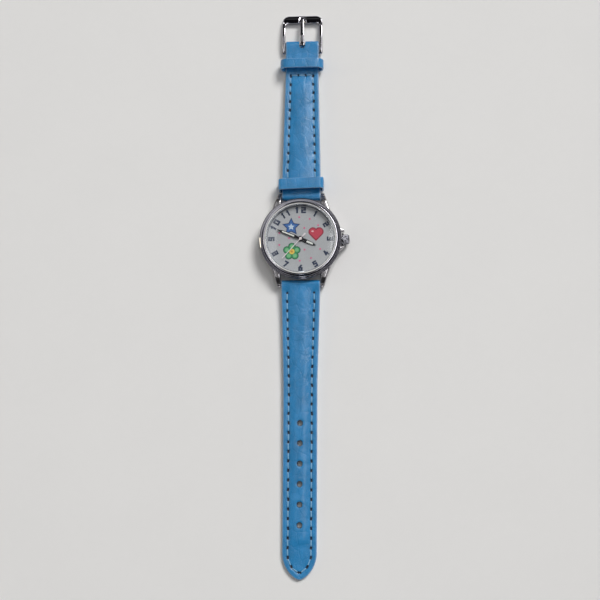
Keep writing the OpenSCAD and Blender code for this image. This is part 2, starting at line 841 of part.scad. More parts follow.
module main_plate() {
    color(brass) difference() {
        union() {
            ring(movement_r, 0, plate_z, plate_top_z);
            ring(movement_r, movement_r - rim_w, plate_top_z - pin_fit, dial_seat_z);
            for (p = pillar_places)
                translate(p) ring(pillar_r, 0, bridge_top_z, plate_z + pin_fit);
            translate(minute_place)
                ring(post_r, 0, plate_top_z - pin_fit, plate_top_z + minute_rise + minute_pinion_h);
        }
        translate([0, 0, plate_z - cut]) {
            cylinder(h = plate_t + 2 * cut, r = pipe_r + pivot_fit);
            for (p = [third_place, fifth_place, rotor_place])
                translate(p) cylinder(h = plate_t + 2 * cut, r = pivot_r + pivot_fit);
        }
        translate(battery_place) ring(battery_d / 2 + battery_play, 0, 0, dial_seat_z + cut);
        block([coil_centre[0] - coil_l / 2 - core_over - window_play,
                coil_centre[1] - coil_d / 2 - window_play, plate_z - cut],
            [coil_centre[0] + coil_l / 2 + core_over + window_play,
                coil_centre[1] + coil_d / 2 + window_play, dial_seat_z + cut]);
        block([keyless_x, -keyless_w / 2, plate_z - cut],
            [movement_r + cut, keyless_w / 2, dial_seat_z + cut]);
        for (turn = foot_turns)
            rotate([0, 0, turn]) translate([foot_circle_r, 0, plate_z - cut])
                cylinder(h = movement_t, r = foot_r + pin_fit);
        for (p = pillar_places)
            translate(p) ring(screw_r, 0, 0, plate_z + plate_t / 2);
    }
}

module train_bridge() {
    color("silver") difference() {
        ring(movement_r - rim_w / 2, 0, bridge_z, bridge_top_z);
        translate(battery_place) ring(battery_d / 2 + battery_play, 0, 0, movement_t);
        block([coil_centre[0] - coil_l / 2 - core_over - window_play,
                coil_centre[1] - coil_d / 2 - window_play, 0],
            [coil_centre[0] + coil_l / 2 + core_over + window_play, movement_r, movement_t]);
        for (p = [third_place, fifth_place, rotor_place, [0, 0]])
            translate(p) ring(pivot_r + pivot_fit, 0, 0, movement_t);
        for (p = pillar_places)
            translate(p) ring(screw_r + run_fit, 0, 0, movement_t);
    }
}

module movement_screws() {
    color(dark_steel)
        for (p = pillar_places)
            translate(p) difference() {
                union() {
                    ring(screw_head_r, 0, bridge_z - screw_head_t, bridge_z);
                    ring(screw_r, 0, bridge_z - pin_fit, plate_z + plate_t / 2 - pin_fit);
                }
                block([-screw_head_r - cut, -screw_slot_w / 2, bridge_z - screw_head_t - cut],
                    [screw_head_r + cut, screw_slot_w / 2, bridge_z - screw_head_t / 2]);
            }
}

module movement_ring() {
    color("ivory") difference() {
        ring(bore_r - run_fit, movement_r + seat_fit, back_t + back_rim_h + ring_low_gap,
            dial_seat_z - ring_seat_gap);
        block([0, -stem_slot_w / 2, 0], [bore_r + cut, stem_slot_w / 2, dial_seat_z + cut]);
    }
}

module battery() {
    color("silver") translate(battery_place) {
        ring(battery_d / 2, 0, battery_z, battery_z + battery_t - case_chamfer);
        ring(battery_d / 2 - case_chamfer, 0, battery_z + battery_t - case_chamfer - pin_fit,
            battery_z + battery_t);
    }
}

module battery_clip() {
    run = pillar_places[1] - battery_place;
    color(gold_tone) translate([0, 0, battery_z - clip_t]) {
        translate(battery_place) cylinder(h = clip_t, r = clip_r);
        translate(battery_place) rotate([0, 0, atan2(run[1], run[0])])
            translate([0, -clip_w / 2, 0]) cube([norm(run), clip_w, clip_t]);
        translate(pillar_places[1]) cylinder(h = clip_t, r = screw_head_r);
    }
}

coil_z = level_z(3) + core_t / 2 + pinion_over;

module coil() {
    color("#a4492a") translate([coil_centre[0], coil_centre[1], coil_z])
        difference() {
            bar_x(coil_d / 2, -coil_l / 2, coil_l / 2);
            cube([coil_l + 2 * cut, core_w, core_t], center = true);
        }
}

module coil_core() {
    color("silver") translate([coil_centre[0], coil_centre[1], coil_z])
        cube([coil_l + 2 * core_over, core_w, core_t], center = true);
}

module stator() {
    leg_x = coil_l / 2 + core_over;
    low_z = plate_z - stator_low;
    core_low_z = coil_z - core_t / 2;
    color("silver") difference() {
        union() {
            for (x = [coil_centre[0] - leg_x, coil_centre[0] + leg_x - leg_w])
                block([x, stator_y, low_z],
                    [x + leg_w, coil_centre[1] - core_w / 2, low_z + stator_t]);
            block([coil_centre[0] - leg_x, stator_y, low_z],
                [coil_centre[0] + leg_x, stator_y + stator_w, low_z + stator_t]);
        }
        translate(rotor_place) ring(rotor_hole_r, 0, core_low_z - cut, plate_z);
    }
}

module rotor() {
    color("dimgray") translate(rotor_place) {
        arbor();
        pinion(rotor_teeth, train_module, 4, meshed(rotor_turn, fifth_teeth, 0, rotor_teeth));
        ring(magnet_r, 0, plate_z - stator_low - (magnet_t - stator_t) / 2,
            plate_z - stator_low + (magnet_t + stator_t) / 2);
    }
}

module fifth_wheel() {
    color(brass) translate(fifth_place) {
        arbor();
        wheel(fifth_teeth, train_module, 4, 0);
        pinion(pinion_teeth, train_module, 3, meshed(fifth_turn, fourth_teeth, 0, pinion_teeth));
    }
}

module fourth_wheel() {
    color(brass) {
        ring(pivot_r, 0, bridge_top_z - pivot_l, bridge_top_z + pivot_l);
        ring(arbor_r, 0, bridge_top_z + pinion_over, second_hand_z + hand_t + pinion_over);
        wheel(fourth_teeth, train_module, 3, 0);
        pinion(pinion_teeth, train_module, 2, 0);
    }
}

module third_wheel() {
    color(brass) translate(third_place) {
        arbor();
        wheel(third_teeth, train_module, 2, meshed(third_turn, pinion_teeth, 0, third_teeth));
        pinion(pinion_teeth, centre_module, 1, 0);
    }
}

module centre_wheel() {
    color(brass) difference() {
        union() {
            wheel(centre_teeth, centre_module, 1,
                meshed(third_turn + 180, pinion_teeth, 0, centre_teeth));
            ring(pipe_r, 0, level_z(1), minute_hand_z);
        }
        cylinder(h = bezel_top_z, r = arbor_r + run_fit);
    }
}

module cannon_pinion() {
    color(brass) difference() {
        union() {
            gear(cannon_teeth, train_module, plate_top_z + cannon_rise,
                plate_top_z + cannon_rise + cannon_tooth_h, 0);
            ring(cannon_r, 0, plate_top_z + cannon_rise + cannon_tooth_h - pin_fit,
                minute_hand_z + hand_t);
        }
        cylinder(h = bezel_top_z, r = pipe_r);
    }
}

module minute_wheel() {
    low_z = plate_top_z + minute_rise;
    color(brass) translate(minute_place) difference() {
        union() {
            gear(minute_teeth, train_module, low_z, low_z + wheel_t,
                meshed(minute_turn, cannon_teeth, 0, minute_teeth));
            gear(minute_pinion_teeth, hour_module, low_z + wheel_t - pin_fit,
                low_z + minute_pinion_h + wheel_t, 0);
        }
        cylinder(h = bezel_top_z, r = post_r + pivot_fit);
    }
}

module hour_wheel() {
    low_z = plate_top_z + hour_rise;
    color(brass) difference() {
        union() {
            gear(hour_teeth, hour_module, low_z, low_z + wheel_t,
                meshed(minute_turn + 180, minute_pinion_teeth, 0, hour_teeth));
            ring(hour_pipe_r, 0, low_z, hour_hand_z + hand_t);
        }
        cylinder(h = bezel_top_z, r = hour_bore_r);
    }
}

module circuit_board() {
    color("#2f6b45") {
        difference() {
            intersection() {
                ring(board_r, 0, bridge_z - board_t, bridge_z);
                block([board_in[0], -board_r, 0], [board_r, board_in[1], bridge_z]);
            }
            translate(battery_place) ring(battery_d / 2 + battery_play, 0, 0, movement_t);
            translate(pillar_places[2]) ring(screw_head_r + seat_fit, 0, 0, movement_t);
        }
        translate(chip_place)
            ring(chip_r, 0, bridge_z - board_t - chip_t, bridge_z - board_t + pin_fit);
    }
}

module quartz_can() {
    color("silver") translate([can_place[0], can_place[1], bridge_top_z + can_r + pivot_fit])
        bar_x(can_r, 0, can_l);
}

// Crown and stem

module crown_tube() {
    color(chrome) translate([0, 0, crown_z]) difference() {
        bar_x(tube_r, bore_r, tube_out);
        bar_x(stem_r + run_fit, bore_r - cut, tube_out + cut);
    }
}

module winding_stem() {
    color(dark_steel) translate([0, 0, crown_z]) {
        bar_x(stem_r, stem_in, stem_groove_x);
        bar_x(stem_groove_r, stem_groove_x - pin_fit, stem_groove_x + stem_groove_l + pin_fit);
        bar_x(stem_r, stem_groove_x + stem_groove_l, crown_in + crown_recess_l + stem_seat_l);
    }
}

module clutch_pinion() {
    color(dark_steel) translate([clutch_x, 0, crown_z]) rotate([0, 90, 0])
        difference() {
            linear_extrude(clutch_l)
                polygon([for (i = [0:clutch_teeth - 1], s = tooth_shares)
                    clutch_r * (1 + s[1] / clutch_teeth)
                        * [cos((i + s[0]) * 360 / clutch_teeth),
                            sin((i + s[0]) * 360 / clutch_teeth)]]);
            translate([0, 0, -cut]) cylinder(h = clutch_l + 2 * cut, r = stem_r);
        }
}

module setting_lever() {
    lever_x = stem_groove_x + lever_play;
    lever_t = stem_groove_l - 2 * lever_play;
    color("silver") translate([lever_x, 0, crown_z]) difference() {
        translate([0, -lever_w / 2, -lever_h / 2]) cube([lever_t, lever_w, lever_h]);
        bar_x(stem_groove_r + pivot_fit, -cut, lever_t + cut);
        block([-cut, -stem_groove_r - pivot_fit, -lever_h],
            [lever_t + cut, stem_groove_r + pivot_fit, 0]);
    }
}

module crown() {
    knob_r = crown_knob_d / 2;
    recess_r = oring_y + oring_w / 2;
    color(chrome) translate([crown_in, 0, crown_z]) difference() {
        union() {
            bar_x(crown_flange_d / 2, 0, crown_flange_t);
            rotate([0, 90, 0]) rotate_extrude()
                polygon([[0, 0], [knob_r, 0], [knob_r, crown_l - crown_dome_h],
                    [knob_r - crown_dome_h, crown_l - crown_dome_h / 4], [0, crown_l]]);
        }
        bar_x(recess_r, -cut, crown_recess_l);
        bar_x(stem_r, 0, crown_recess_l + stem_seat_l);
        for (i = [0:flutes - 1])
            rotate([360 * i / flutes, 0, 0]) translate([0, knob_r + flute_r / 2, 0])
                bar_x(flute_r, crown_flange_t + flute_r, crown_l + cut);
    }
}

module crown_gasket() {
    color(dark_steel) translate([crown_in + oring_w, 0, crown_z]) rotate([0, 90, 0])
        rotate_extrude() translate([oring_y, 0]) circle(r = oring_w / 2 - pin_fit / 2);
}

// Spring bars

module bar_tube(length) {
    difference() {
        bar_x(bar_tube_r, -length / 2, length / 2);
        bar_x(bar_pin_r + run_fit, -length / 2 - cut, length / 2 + cut);
    }
}

module bar_pins(half_gap, reach) {
    for (side = [0, 1])
        mirror([side, 0, 0]) bar_x(bar_pin_r, pin_in, half_gap + reach);
}

module lug_bar_tubes() {
    color(chrome)
        for (side = [-1, 1])
            translate([0, side * lug_bar_y, lug_bar_z]) bar_tube(lug_gap - 2 * bar_end_play);
}

module lug_bar_pins() {
    color(dark_steel)
        for (side = [-1, 1])
            translate([0, side * lug_bar_y, lug_bar_z]) bar_pins(lug_gap / 2, bar_pin_reach);
}

// Points of a helical spring: rings of spring_sides points along the wire
function spring_ring(i) =
    let (turn = 360 * i / spring_steps, coil_r = bar_pin_r - spring_wire_r,
        x = -pin_in + spring_wire_r
            + 2 * (pin_in - spring_wire_r) * i / (spring_turns * spring_steps))
    [for (j = [0:spring_sides - 1])
        let (a = 360 * j / spring_sides, r = coil_r + spring_wire_r * cos(a))
        [x + spring_wire_r * sin(a), r * cos(turn), r * sin(turn)]];

module spring() {
    last = spring_turns * spring_steps;
    points = [for (i = [0:last]) for (p = spring_ring(i)) p];
    sides = [for (i = [0:last - 1], j = [0:spring_sides - 1])
        let (a = i * spring_sides + j, b = i * spring_sides + (j + 1) % spring_sides)
        each [[a, b, b + spring_sides], [a, b + spring_sides, a + spring_sides]]];
    far = last * spring_sides;
    ends = [for (j = [1:spring_sides - 2])
        each [[0, j + 1, j], [far, far + j, far + j + 1]]];
    polyhedron(points, concat(sides, ends));
}

module lug_bar_springs() {
    color("silver")
        for (side = [-1, 1])
            translate([0, side * lug_bar_y, lug_bar_z]) spring();
}

module buckle_bar_tube() {
    color(chrome) translate([0, buckle_bar_y, buckle_bar_z])
        bar_tube(2 * (arm_in - bar_end_play));
}

module buckle_bar_pins() {
    color(dark_steel) translate([0, buckle_bar_y, buckle_bar_z])
        bar_pins(arm_in, (buckle_w / 2 - arm_in) / 2);
}

// Strap. Both pieces are drawn along +Y; the lower one is mirrored into place

function side_points(stations, lift, drop) = concat(
    [for (s = stations) [s[0], s[1] + lift]],
    [for (i = [len(stations) - 1:-1:0]) [stations[i][0], stations[i][2] - drop]]);

function half_width(y, taper) = lookup(y, [[taper[0], lug_half], [taper[1], end_half]]);

// Outline from above between two places, drawn in by inset
module strap_plan(y_low, y_high, taper, inset) {
    stops = [y_low, for (y = taper) if (y > y_low && y < y_high) y, y_high];
    polygon(concat([for (y = stops) [half_width(y, taper) - inset, y]],
        [for (i = [len(stops) - 1:-1:0]) [inset - half_width(stops[i], taper), stops[i]]]));
}

// The pointed nose: two arcs that leave the edges smoothly and meet beyond the blunt tip
module nose_plan(inset) {
    half = end_half - inset;
    length = nose_l - inset;
    arc_r = (half * half + length * length) / (2 * half);
    intersection() {
        translate([half - arc_r, nose_y]) circle(r = arc_r, $fn = 180);
        translate([arc_r - half, nose_y]) circle(r = arc_r, $fn = 180);
        translate([-half, nose_y - cut]) square([2 * half, length + cut - nose_blunt]);
    }
}

// The crowned bulge of the padding over one straight stretch, lowered by drop
module pad_stretch(from, to, drop) {
    tilt = atan2(to[2] - from[2], to[0] - from[0]);
    length = norm([to[0] - from[0], to[2] - from[2]]);
    intersection() {
        translate([0, from[0], from[2] - pad_crown_r - drop]) rotate([tilt - 90, 0, 0])
            translate([0, 0, -lug_loop_r])
                cylinder(h = length + 2 * lug_loop_r, r = pad_crown_r, $fn = 180);
        block([-lug_half, from[0], min(from[1], to[1])], [lug_half, to[0], from[2] + cut]);
    }
}

module padding(stations, plan_low, plan_high, taper, lift, drop, inset) {
    intersection() {
        across(strap_lug_w) polygon(side_points(stations, lift, drop - pad_rise));
        linear_extrude(2 * strap_lug_t) strap_plan(plan_low, plan_high, taper, inset);
        union()
            for (i = [0:len(stations) - 2]) pad_stretch(stations[i], stations[i + 1], drop);
    }
}

module filler(stations, end_y, taper) {
    padding(stations, lug_bar_y + lug_loop_r + filler_play, end_y - filler_play, taper, lining_t,
        leather_t, border_w + filler_play);
}

module upper_strap_plan(inset) {
    strap_plan(lug_bar_y - lug_loop_r, buckle_bar_y + buckle_loop_r, upper_taper_y, inset);
}

module lower_strap_plan(inset) {
    strap_plan(lug_bar_y - lug_loop_r, nose_y, lower_taper_y, inset);
    nose_plan(inset);
}

module tongue_slot() {
    slot_y = buckle_bar_y - slot_depth;
    linear_extrude(2 * strap_lug_t) {
        translate([0, slot_y + tongue_slot_w / 2]) circle(r = tongue_slot_w / 2);
        translate([-tongue_slot_w / 2, slot_y + tongue_slot_w / 2])
            square([tongue_slot_w, slot_depth + buckle_loop_r + cut]);
    }
}

module upper_lining_shape() {
    intersection() {
        across(strap_lug_w)
            polygon([[lug_bar_y + lug_loop_r, strap_low_z],
                [buckle_bar_y - buckle_loop_r, strap_low_z],
                [buckle_bar_y - buckle_loop_r, strap_low_z + lining_t],
                [lug_bar_y + lug_loop_r, strap_low_z + lining_t]]);
        linear_extrude(2 * strap_lug_t) upper_strap_plan(0);
    }
}

module upper_strap_top() {
    color(sky_leather) difference() {
        union() {
            intersection() {
                across(strap_lug_w) {
                    polygon(side_points(upper_stations, 0, pad_rise));
                    translate([lug_bar_y, lug_bar_z]) circle(r = lug_loop_r);
                    translate([buckle_bar_y, buckle_bar_z]) circle(r = buckle_loop_r);
                }
                linear_extrude(2 * strap_lug_t) upper_strap_plan(0);
            }
            padding(upper_stations, lug_bar_y, upper_pad_end_y, upper_taper_y, 0, 0, border_w);
        }
        upper_lining_shape();
        filler(upper_stations, upper_pad_end_y, upper_taper_y);
        translate([0, lug_bar_y, lug_bar_z])
            bar_x(bar_tube_r + run_fit, -strap_lug_w, strap_lug_w);
        translate([0, buckle_bar_y, buckle_bar_z])
            bar_x(bar_tube_r + run_fit, -strap_lug_w, strap_lug_w);
        tongue_slot();
    }
}

module upper_strap_lining() {
    color(pale_leather) difference() {
        upper_lining_shape();
        tongue_slot();
    }
}

module upper_strap_filler() {
    color("wheat") filler(upper_stations, upper_pad_end_y, upper_taper_y);
}

module lower_lining_shape() {
    loop_end = lug_bar_y + lug_loop_r;
    loop_z = lookup(loop_end, [for (s = lower_stations) [s[0], s[1]]]);
    intersection() {
        across(strap_lug_w)
            polygon([[loop_end, loop_z], [drape_y, 0], [strap_tip_y, 0], [strap_tip_y, lining_t],
                [drape_y, lining_t], [loop_end, loop_z + lining_t]]);
        linear_extrude(2 * strap_lug_t) lower_strap_plan(0);
    }
}

module buckle_holes() {
    for (i = [0:hole_count - 1])
        translate([0, first_hole_y + i * hole_pitch, -cut])
            cylinder(h = 2 * strap_lug_t, r = hole_d / 2);
}

module lower_strap_top() {
    color(sky_leather) mirror([0, 1, 0]) difference() {
        union() {
            intersection() {
                across(strap_lug_w) {
                    polygon(side_points(lower_stations, 0, pad_rise));
                    translate([lug_bar_y, lug_bar_z]) circle(r = lug_loop_r);
                }
                linear_extrude(2 * strap_lug_t) lower_strap_plan(0);
            }
            padding(lower_stations, lug_bar_y, lower_pad_end_y, lower_taper_y, 0, 0, border_w);
        }
        lower_lining_shape();
        filler(lower_stations, lower_pad_end_y, lower_taper_y);
        translate([0, lug_bar_y, lug_bar_z])
            bar_x(bar_tube_r + run_fit, -strap_lug_w, strap_lug_w);
        buckle_holes();
    }
}

module lower_strap_lining() {
    color(pale_leather) mirror([0, 1, 0]) difference() {
        lower_lining_shape();
        buckle_holes();
    }
}

module lower_strap_filler() {
    color("wheat") mirror([0, 1, 0]) difference() {
        filler(lower_stations, lower_pad_end_y, lower_taper_y);
        buckle_holes();
    }
}

// Height and fall of the sewn border at a place along the strap
function border_z(y, stations) = lookup(y, [for (s = stations) [s[0], s[2] - pad_rise]]);
function border_fall(y, stations) =
    atan2(border_z(y + cut, stations) - border_z(y - cut, stations), 2 * cut);

module stitch(place, heading, stations) {
    translate([place[0], place[1], border_z(place[1], stations) + stitch_lift])
        rotate([border_fall(place[1], stations), 0, 0]) rotate([0, 0, heading])
            translate([-stitch_l / 2, -thread_w / 2, 0]) cube([stitch_l, thread_w, thread_h]);
}

// Two rows of stitches along the edges between two places
module edge_stitches(y_low, y_high, taper, stations) {
    count = floor((y_high - y_low) / stitch_pitch);
    for (side = [-1, 1], i = [0:count - 1]) {
        y = y_low + (i + 1 / 2) * stitch_pitch;
        lean = atan2(half_width(y + stitch_l / 2, taper) - half_width(y - stitch_l / 2, taper),
            stitch_l);
        stitch([side * (half_width(y, taper) - stitch_inset), y], 90 - side * lean, stations);
    }
}

module upper_strap_stitching() {
    row_half = end_half - stitch_inset;
    color(thread_blue) {
        edge_stitches(stitch_start_y, cross_stitch_y - thread_w, upper_taper_y, upper_stations);
        for (i = [0:cross_stitches - 1])
            stitch([row_half * (2 * i + 1 - cross_stitches) / cross_stitches, cross_stitch_y], 0,
                upper_stations);
    }
}

module nose_stitches() {
    half = end_half - stitch_inset;
    length = nose_l - stitch_inset;
    arc_r = (half * half + length * length) / (2 * half);
    sweep = asin(length / arc_r);
    count = floor(sweep * PI / 180 * arc_r / stitch_pitch);
    for (side = [-1, 1], i = [0:count - 1]) {
        turn = (i + 1 / 2) * sweep / count;
        stitch([side * (half - arc_r + arc_r * cos(turn)), nose_y + arc_r * sin(turn)],
            90 + side * turn, lower_stations);
    }
}

module lower_strap_stitching() {
    color(thread_blue) mirror([0, 1, 0]) {
        edge_stitches(stitch_start_y, nose_y, lower_taper_y, lower_stations);
        nose_stitches();
    }
}

// Keepers

module keeper(y, length, strap_w, strap_t, side_play, low_z) {
    width = strap_w + 2 * side_play + 2 * keeper_t;
    height = strap_t + keeper_room + 2 * keeper_t;
    along(y - length / 2, y + length / 2) translate([0, low_z + height / 2])
        difference() {
            rounded_square(width, height, keeper_corner_r);
            rounded_square(width - 2 * keeper_t, height - 2 * keeper_t,
                keeper_corner_r - keeper_t);
        }
}

module fixed_keeper() {
    color(sky_leather) keeper(fixed_keeper_y, fixed_keeper_l, strap_end_w, strap_buckle_t,
        fixed_side_play, strap_low_z - keeper_t);
}

module free_keeper() {
    color(sky_leather)
        keeper(free_keeper_y, free_keeper_l, strap_lug_w, strap_lug_t, keeper_side_play, 0);
}

// Buckle

// Centre of the arc, seen from the side, that the frame is bent along
bend_low_z = buckle_t / 2 + buckle_rest_gap;
bend_fall = bend_low_z - buckle_bar_z;
bend_chord = norm([buckle_reach, bend_fall]);
bend_depth = sqrt(buckle_bend_r * buckle_bend_r - bend_chord * bend_chord / 4);
bend_y = buckle_bar_y + buckle_reach / 2 + bend_depth * bend_fall / bend_chord;
bend_z = buckle_bar_z + bend_fall / 2 - bend_depth * buckle_reach / bend_chord;

module bent(inner, outer, width) {
    across(width) translate([bend_y, bend_z]) difference() {
        circle(r = buckle_bend_r + outer, $fn = 360);
        circle(r = buckle_bend_r + inner, $fn = 360);
    }
}

module buckle_plan() {
    top_y = buckle_bar_y + buckle_reach;
    tail_y = buckle_bar_y - arm_tail;
    half = buckle_w / 2;
    difference() {
        union() {
            polygon([[-half, buckle_bar_y - arm_tail / 2], [tail_taper - half, tail_y],
                [half - tail_taper, tail_y], [half, buckle_bar_y - arm_tail / 2],
                [half, top_y - buckle_corner_r], [-half, top_y - buckle_corner_r]]);
            translate([buckle_corner_r - half, top_y - 2 * buckle_corner_r])
                square([buckle_w - 2 * buckle_corner_r, 2 * buckle_corner_r]);
            for (side = [-1, 1])
                translate([side * (half - buckle_corner_r), top_y - buckle_corner_r])
                    circle(r = buckle_corner_r);
        }
        window_y = top_y - buckle_bar_w;
        translate([-arm_in, tail_y - cut])
            square([2 * arm_in, window_y - tail_y + cut - window_corner_r]);
        translate([window_corner_r - arm_in, tail_y])
            square([2 * (arm_in - window_corner_r), window_y - tail_y]);
        for (side = [-1, 1])
            translate([side * (arm_in - window_corner_r), window_y - window_corner_r])
                circle(r = window_corner_r);
    }
}

module buckle_frame() {
    top_y = buckle_bar_y + buckle_reach;
    notch_half = tongue_w / 2 + notch_play;
    color(chrome) difference() {
        intersection() {
            bent(-buckle_t / 2, buckle_t / 2, buckle_w);
            linear_extrude(2 * strap_lug_t) buckle_plan();
        }
        intersection() {
            bent(buckle_t / 2 - notch_depth, buckle_t, tongue_w + 2 * notch_play);
            block([-notch_half, top_y - buckle_bar_w - cut, 0],
                [notch_half, top_y + cut, 2 * strap_lug_t]);
        }
        translate([0, buckle_bar_y, buckle_bar_z])
            bar_x(bar_pin_r + pin_fit, -(buckle_w / 2 + arm_in) / 2 - run_fit,
                (buckle_w / 2 + arm_in) / 2 + run_fit);
    }
}

module tongue() {
    low = buckle_t / 2 - notch_depth + tongue_seat;
    tip_y = buckle_bar_y + buckle_reach - tongue_short;
    eye_r = bar_tube_r + run_fit + tongue_eye_t;
    color(chrome) difference() {
        union() {
            intersection() {
                bent(low, low + tongue_t, tongue_w);
                linear_extrude(2 * strap_lug_t) {
                    translate([-tongue_w / 2, buckle_bar_y])
                        square([tongue_w, tip_y - tongue_w / 2 - buckle_bar_y]);
                    translate([0, tip_y - tongue_w / 2]) circle(r = tongue_w / 2);
                }
            }
            translate([0, buckle_bar_y, buckle_bar_z]) bar_x(eye_r, -tongue_w / 2, tongue_w / 2);
        }
        translate([0, buckle_bar_y, buckle_bar_z])
            bar_x(bar_tube_r + run_fit, -tongue_w, tongue_w);
    }
}

case_back();
back_gasket();
case_body();
crown_tube();
bezel();
crystal();
crystal_gasket();
inner_ring();
dial();
dial_numerals();
dial_star();
dial_flower();
dial_heart();
dial_dots();
hour_hand();
minute_hand();
second_hand();
hour_hand_lume();
minute_hand_lume();
main_plate();
train_bridge();
movement_ring();
battery();
battery_clip();
coil();
coil_core();
stator();
rotor();
fifth_wheel();
fourth_wheel();
third_wheel();
centre_wheel();
cannon_pinion();
minute_wheel();
hour_wheel();
circuit_board();
quartz_can();
movement_screws();
winding_stem();
clutch_pinion();
setting_lever();
crown();
crown_gasket();
lug_bar_tubes();
lug_bar_pins();
lug_bar_springs();
buckle_bar_tube();
buckle_bar_pins();
upper_strap_top();
upper_strap_filler();
upper_strap_lining();
upper_strap_stitching();
lower_strap_top();
lower_strap_filler();
lower_strap_lining();
lower_strap_stitching();
fixed_keeper();
free_keeper();
buckle_frame();
tongue();
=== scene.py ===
# A child's wristwatch laid open on a pale table, seen from a little below straight above.
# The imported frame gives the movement, the dial print and the pins. The leather, stitches,
# keepers, case, bezel, glass, crown, buckle, tongue and hands get their finished forms here.
import json
import bmesh
import bpy
import numpy as np
from math import radians
from numpy import arange, array, clip, concatenate, cos, interp, linspace, maximum, minimum, pi, \
    roll, sin, sqrt
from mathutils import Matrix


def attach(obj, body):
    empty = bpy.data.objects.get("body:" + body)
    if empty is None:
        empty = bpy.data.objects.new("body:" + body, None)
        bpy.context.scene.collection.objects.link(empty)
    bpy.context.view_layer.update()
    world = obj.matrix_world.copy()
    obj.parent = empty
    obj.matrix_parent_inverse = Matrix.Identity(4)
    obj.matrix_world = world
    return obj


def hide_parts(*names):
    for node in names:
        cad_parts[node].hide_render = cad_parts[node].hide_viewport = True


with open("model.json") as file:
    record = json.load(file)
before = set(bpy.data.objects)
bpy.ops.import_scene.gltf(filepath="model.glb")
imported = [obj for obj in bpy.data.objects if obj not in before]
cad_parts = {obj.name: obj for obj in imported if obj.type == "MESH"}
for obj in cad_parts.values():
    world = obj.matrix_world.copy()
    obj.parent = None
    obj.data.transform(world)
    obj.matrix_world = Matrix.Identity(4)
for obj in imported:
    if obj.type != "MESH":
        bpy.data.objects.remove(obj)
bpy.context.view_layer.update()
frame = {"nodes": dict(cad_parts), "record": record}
mm = 0.001

# ---- camera and lamps

camera = dict(place=(29.27, -83.68, 415.45), turn=(8.504, 4.035, 0.356), lens=69.83,
              clip=(0.01, 50))
lens = bpy.data.cameras.new("camera")
lens.lens, (lens.clip_start, lens.clip_end) = camera["lens"], camera["clip"]
eye = bpy.data.objects.new("camera", lens)
eye.location = [c * mm for c in camera["place"]]
eye.rotation_euler = [radians(a) for a in camera["turn"]]
bpy.context.scene.collection.objects.link(eye)
bpy.context.scene.camera = eye
bpy.context.scene.view_settings.view_transform = "Standard"


def inScene(name, data):
    # a new object with this mesh or lamp, linked to the scene
    thing = bpy.data.objects.new(name, data)
    bpy.context.scene.collection.objects.link(thing)
    return thing


lamps = dict(
    key=dict(turn=(-34, 30, 0), strength=2.4, angle=24, colour=(1.0, 0.985, 0.96)),
    side=dict(turn=(-7, -64, 0), strength=0.20, angle=13, colour=(1.0, 0.91, 0.66)),
    front=dict(turn=(82, 4, 0), strength=0.16, angle=12, colour=(0.97, 0.98, 1.0)))
for name, lamp in lamps.items():
    sun = bpy.data.lights.new(name, "SUN")
    sun.energy, sun.angle, sun.color = lamp["strength"], radians(lamp["angle"]), lamp["colour"]
    inScene(name, sun).rotation_euler = [radians(a) for a in lamp["turn"]]
# two long soft panels over the strap, for the streaks along its padding: place and size in
# metres. They are wide and dim, so that the flat glass mirrors them only faintly
panels = dict(rightPanel=dict(place=(0.085, 0.08, 0.6), size=(0.07, 0.5), watts=0.55),
              leftPanel=dict(place=(-0.15, 0.08, 0.6), size=(0.07, 0.5), watts=0.20))
for name, panel in panels.items():
    area = bpy.data.lights.new(name, "AREA")
    area.shape, area.energy = "RECTANGLE", panel["watts"]
    area.size, area.size_y = panel["size"]
    holder = inScene(name, area)
    holder.location, holder.visible_camera = panel["place"], False
print("camera and lamps are set")


# ---- numbers

def columns(*values):
    # the values side by side in the last place, each stretched to the shape of the others
    return np.stack(np.broadcast_arrays(*values), -1)


def eased(low, high, x):
    # rises smoothly from 0 at low to 1 at high: 3 t squared minus 2 t cubed
    t = clip((x - low) / (high - low), 0, 1)
    return t * t * (3 - 2 * t)


def bell(x, width):
    # exp(-(x / width) squared), 1 at x = 0
    return np.exp(-(x / width) ** 2)


def edgeDrop(gap, r):
    # how far a rounded edge lies below the flat: r less the root of r squared - (r - gap) squared
    return r - sqrt(maximum(r ** 2 - maximum(r - gap, 0) ** 2, 0))


def roundEnd(t, least=0):
    # the root of 1 - t squared: 1 up to t = 0, and least from t = 1 on
    return sqrt(clip(1 - clip(t, 0, 1) ** 2, least, 1))


def spanned(a, b, section, share=1):
    # from a to b by the section's places from -1 to 1, drawn in to this share of the half way
    return ((a + b) / 2)[:, None] + ((b - a) / 2 * share)[:, None] * section


def bentLine(x, stops, values, reach):
    # a broken line with its corners eased: the mean of the line at seven places round x
    return np.mean([interp(x + s * reach, stops, values) for s in linspace(-1, 1, 7)], 0)


def unit(v):
    # each vector divided by its own length
    return v / maximum(np.linalg.norm(v, axis=-1, keepdims=True), 1e-12)


def around(steps, start=0.0):
    # even angles once round: (k + start) / steps times 2 pi
    return (arange(steps) + start) / steps * 2 * pi


def softCorners(profile, radius, steps=5):
    # every corner P of a closed outline becomes the curve (1-t)^2 A + 2t(1-t) P + t^2 B,
    # where A and B lie on its two sides, radius away but never past a side's middle
    p = array(profile, float)
    before, after = roll(p, 1, 0), roll(p, -1, 0)
    r = minimum(np.broadcast_to(radius, len(p)), 0.5 * minimum(
        np.linalg.norm(before - p, axis=1), np.linalg.norm(after - p, axis=1)))[:, None]
    a, b = p + unit(before - p) * r, p + unit(after - p) * r
    t = linspace(0, 1, steps)[None, :, None]
    return ((1 - t) ** 2 * a[:, None] + 2 * t * (1 - t) * p[:, None]
            + t ** 2 * b[:, None]).reshape(-1, 2)


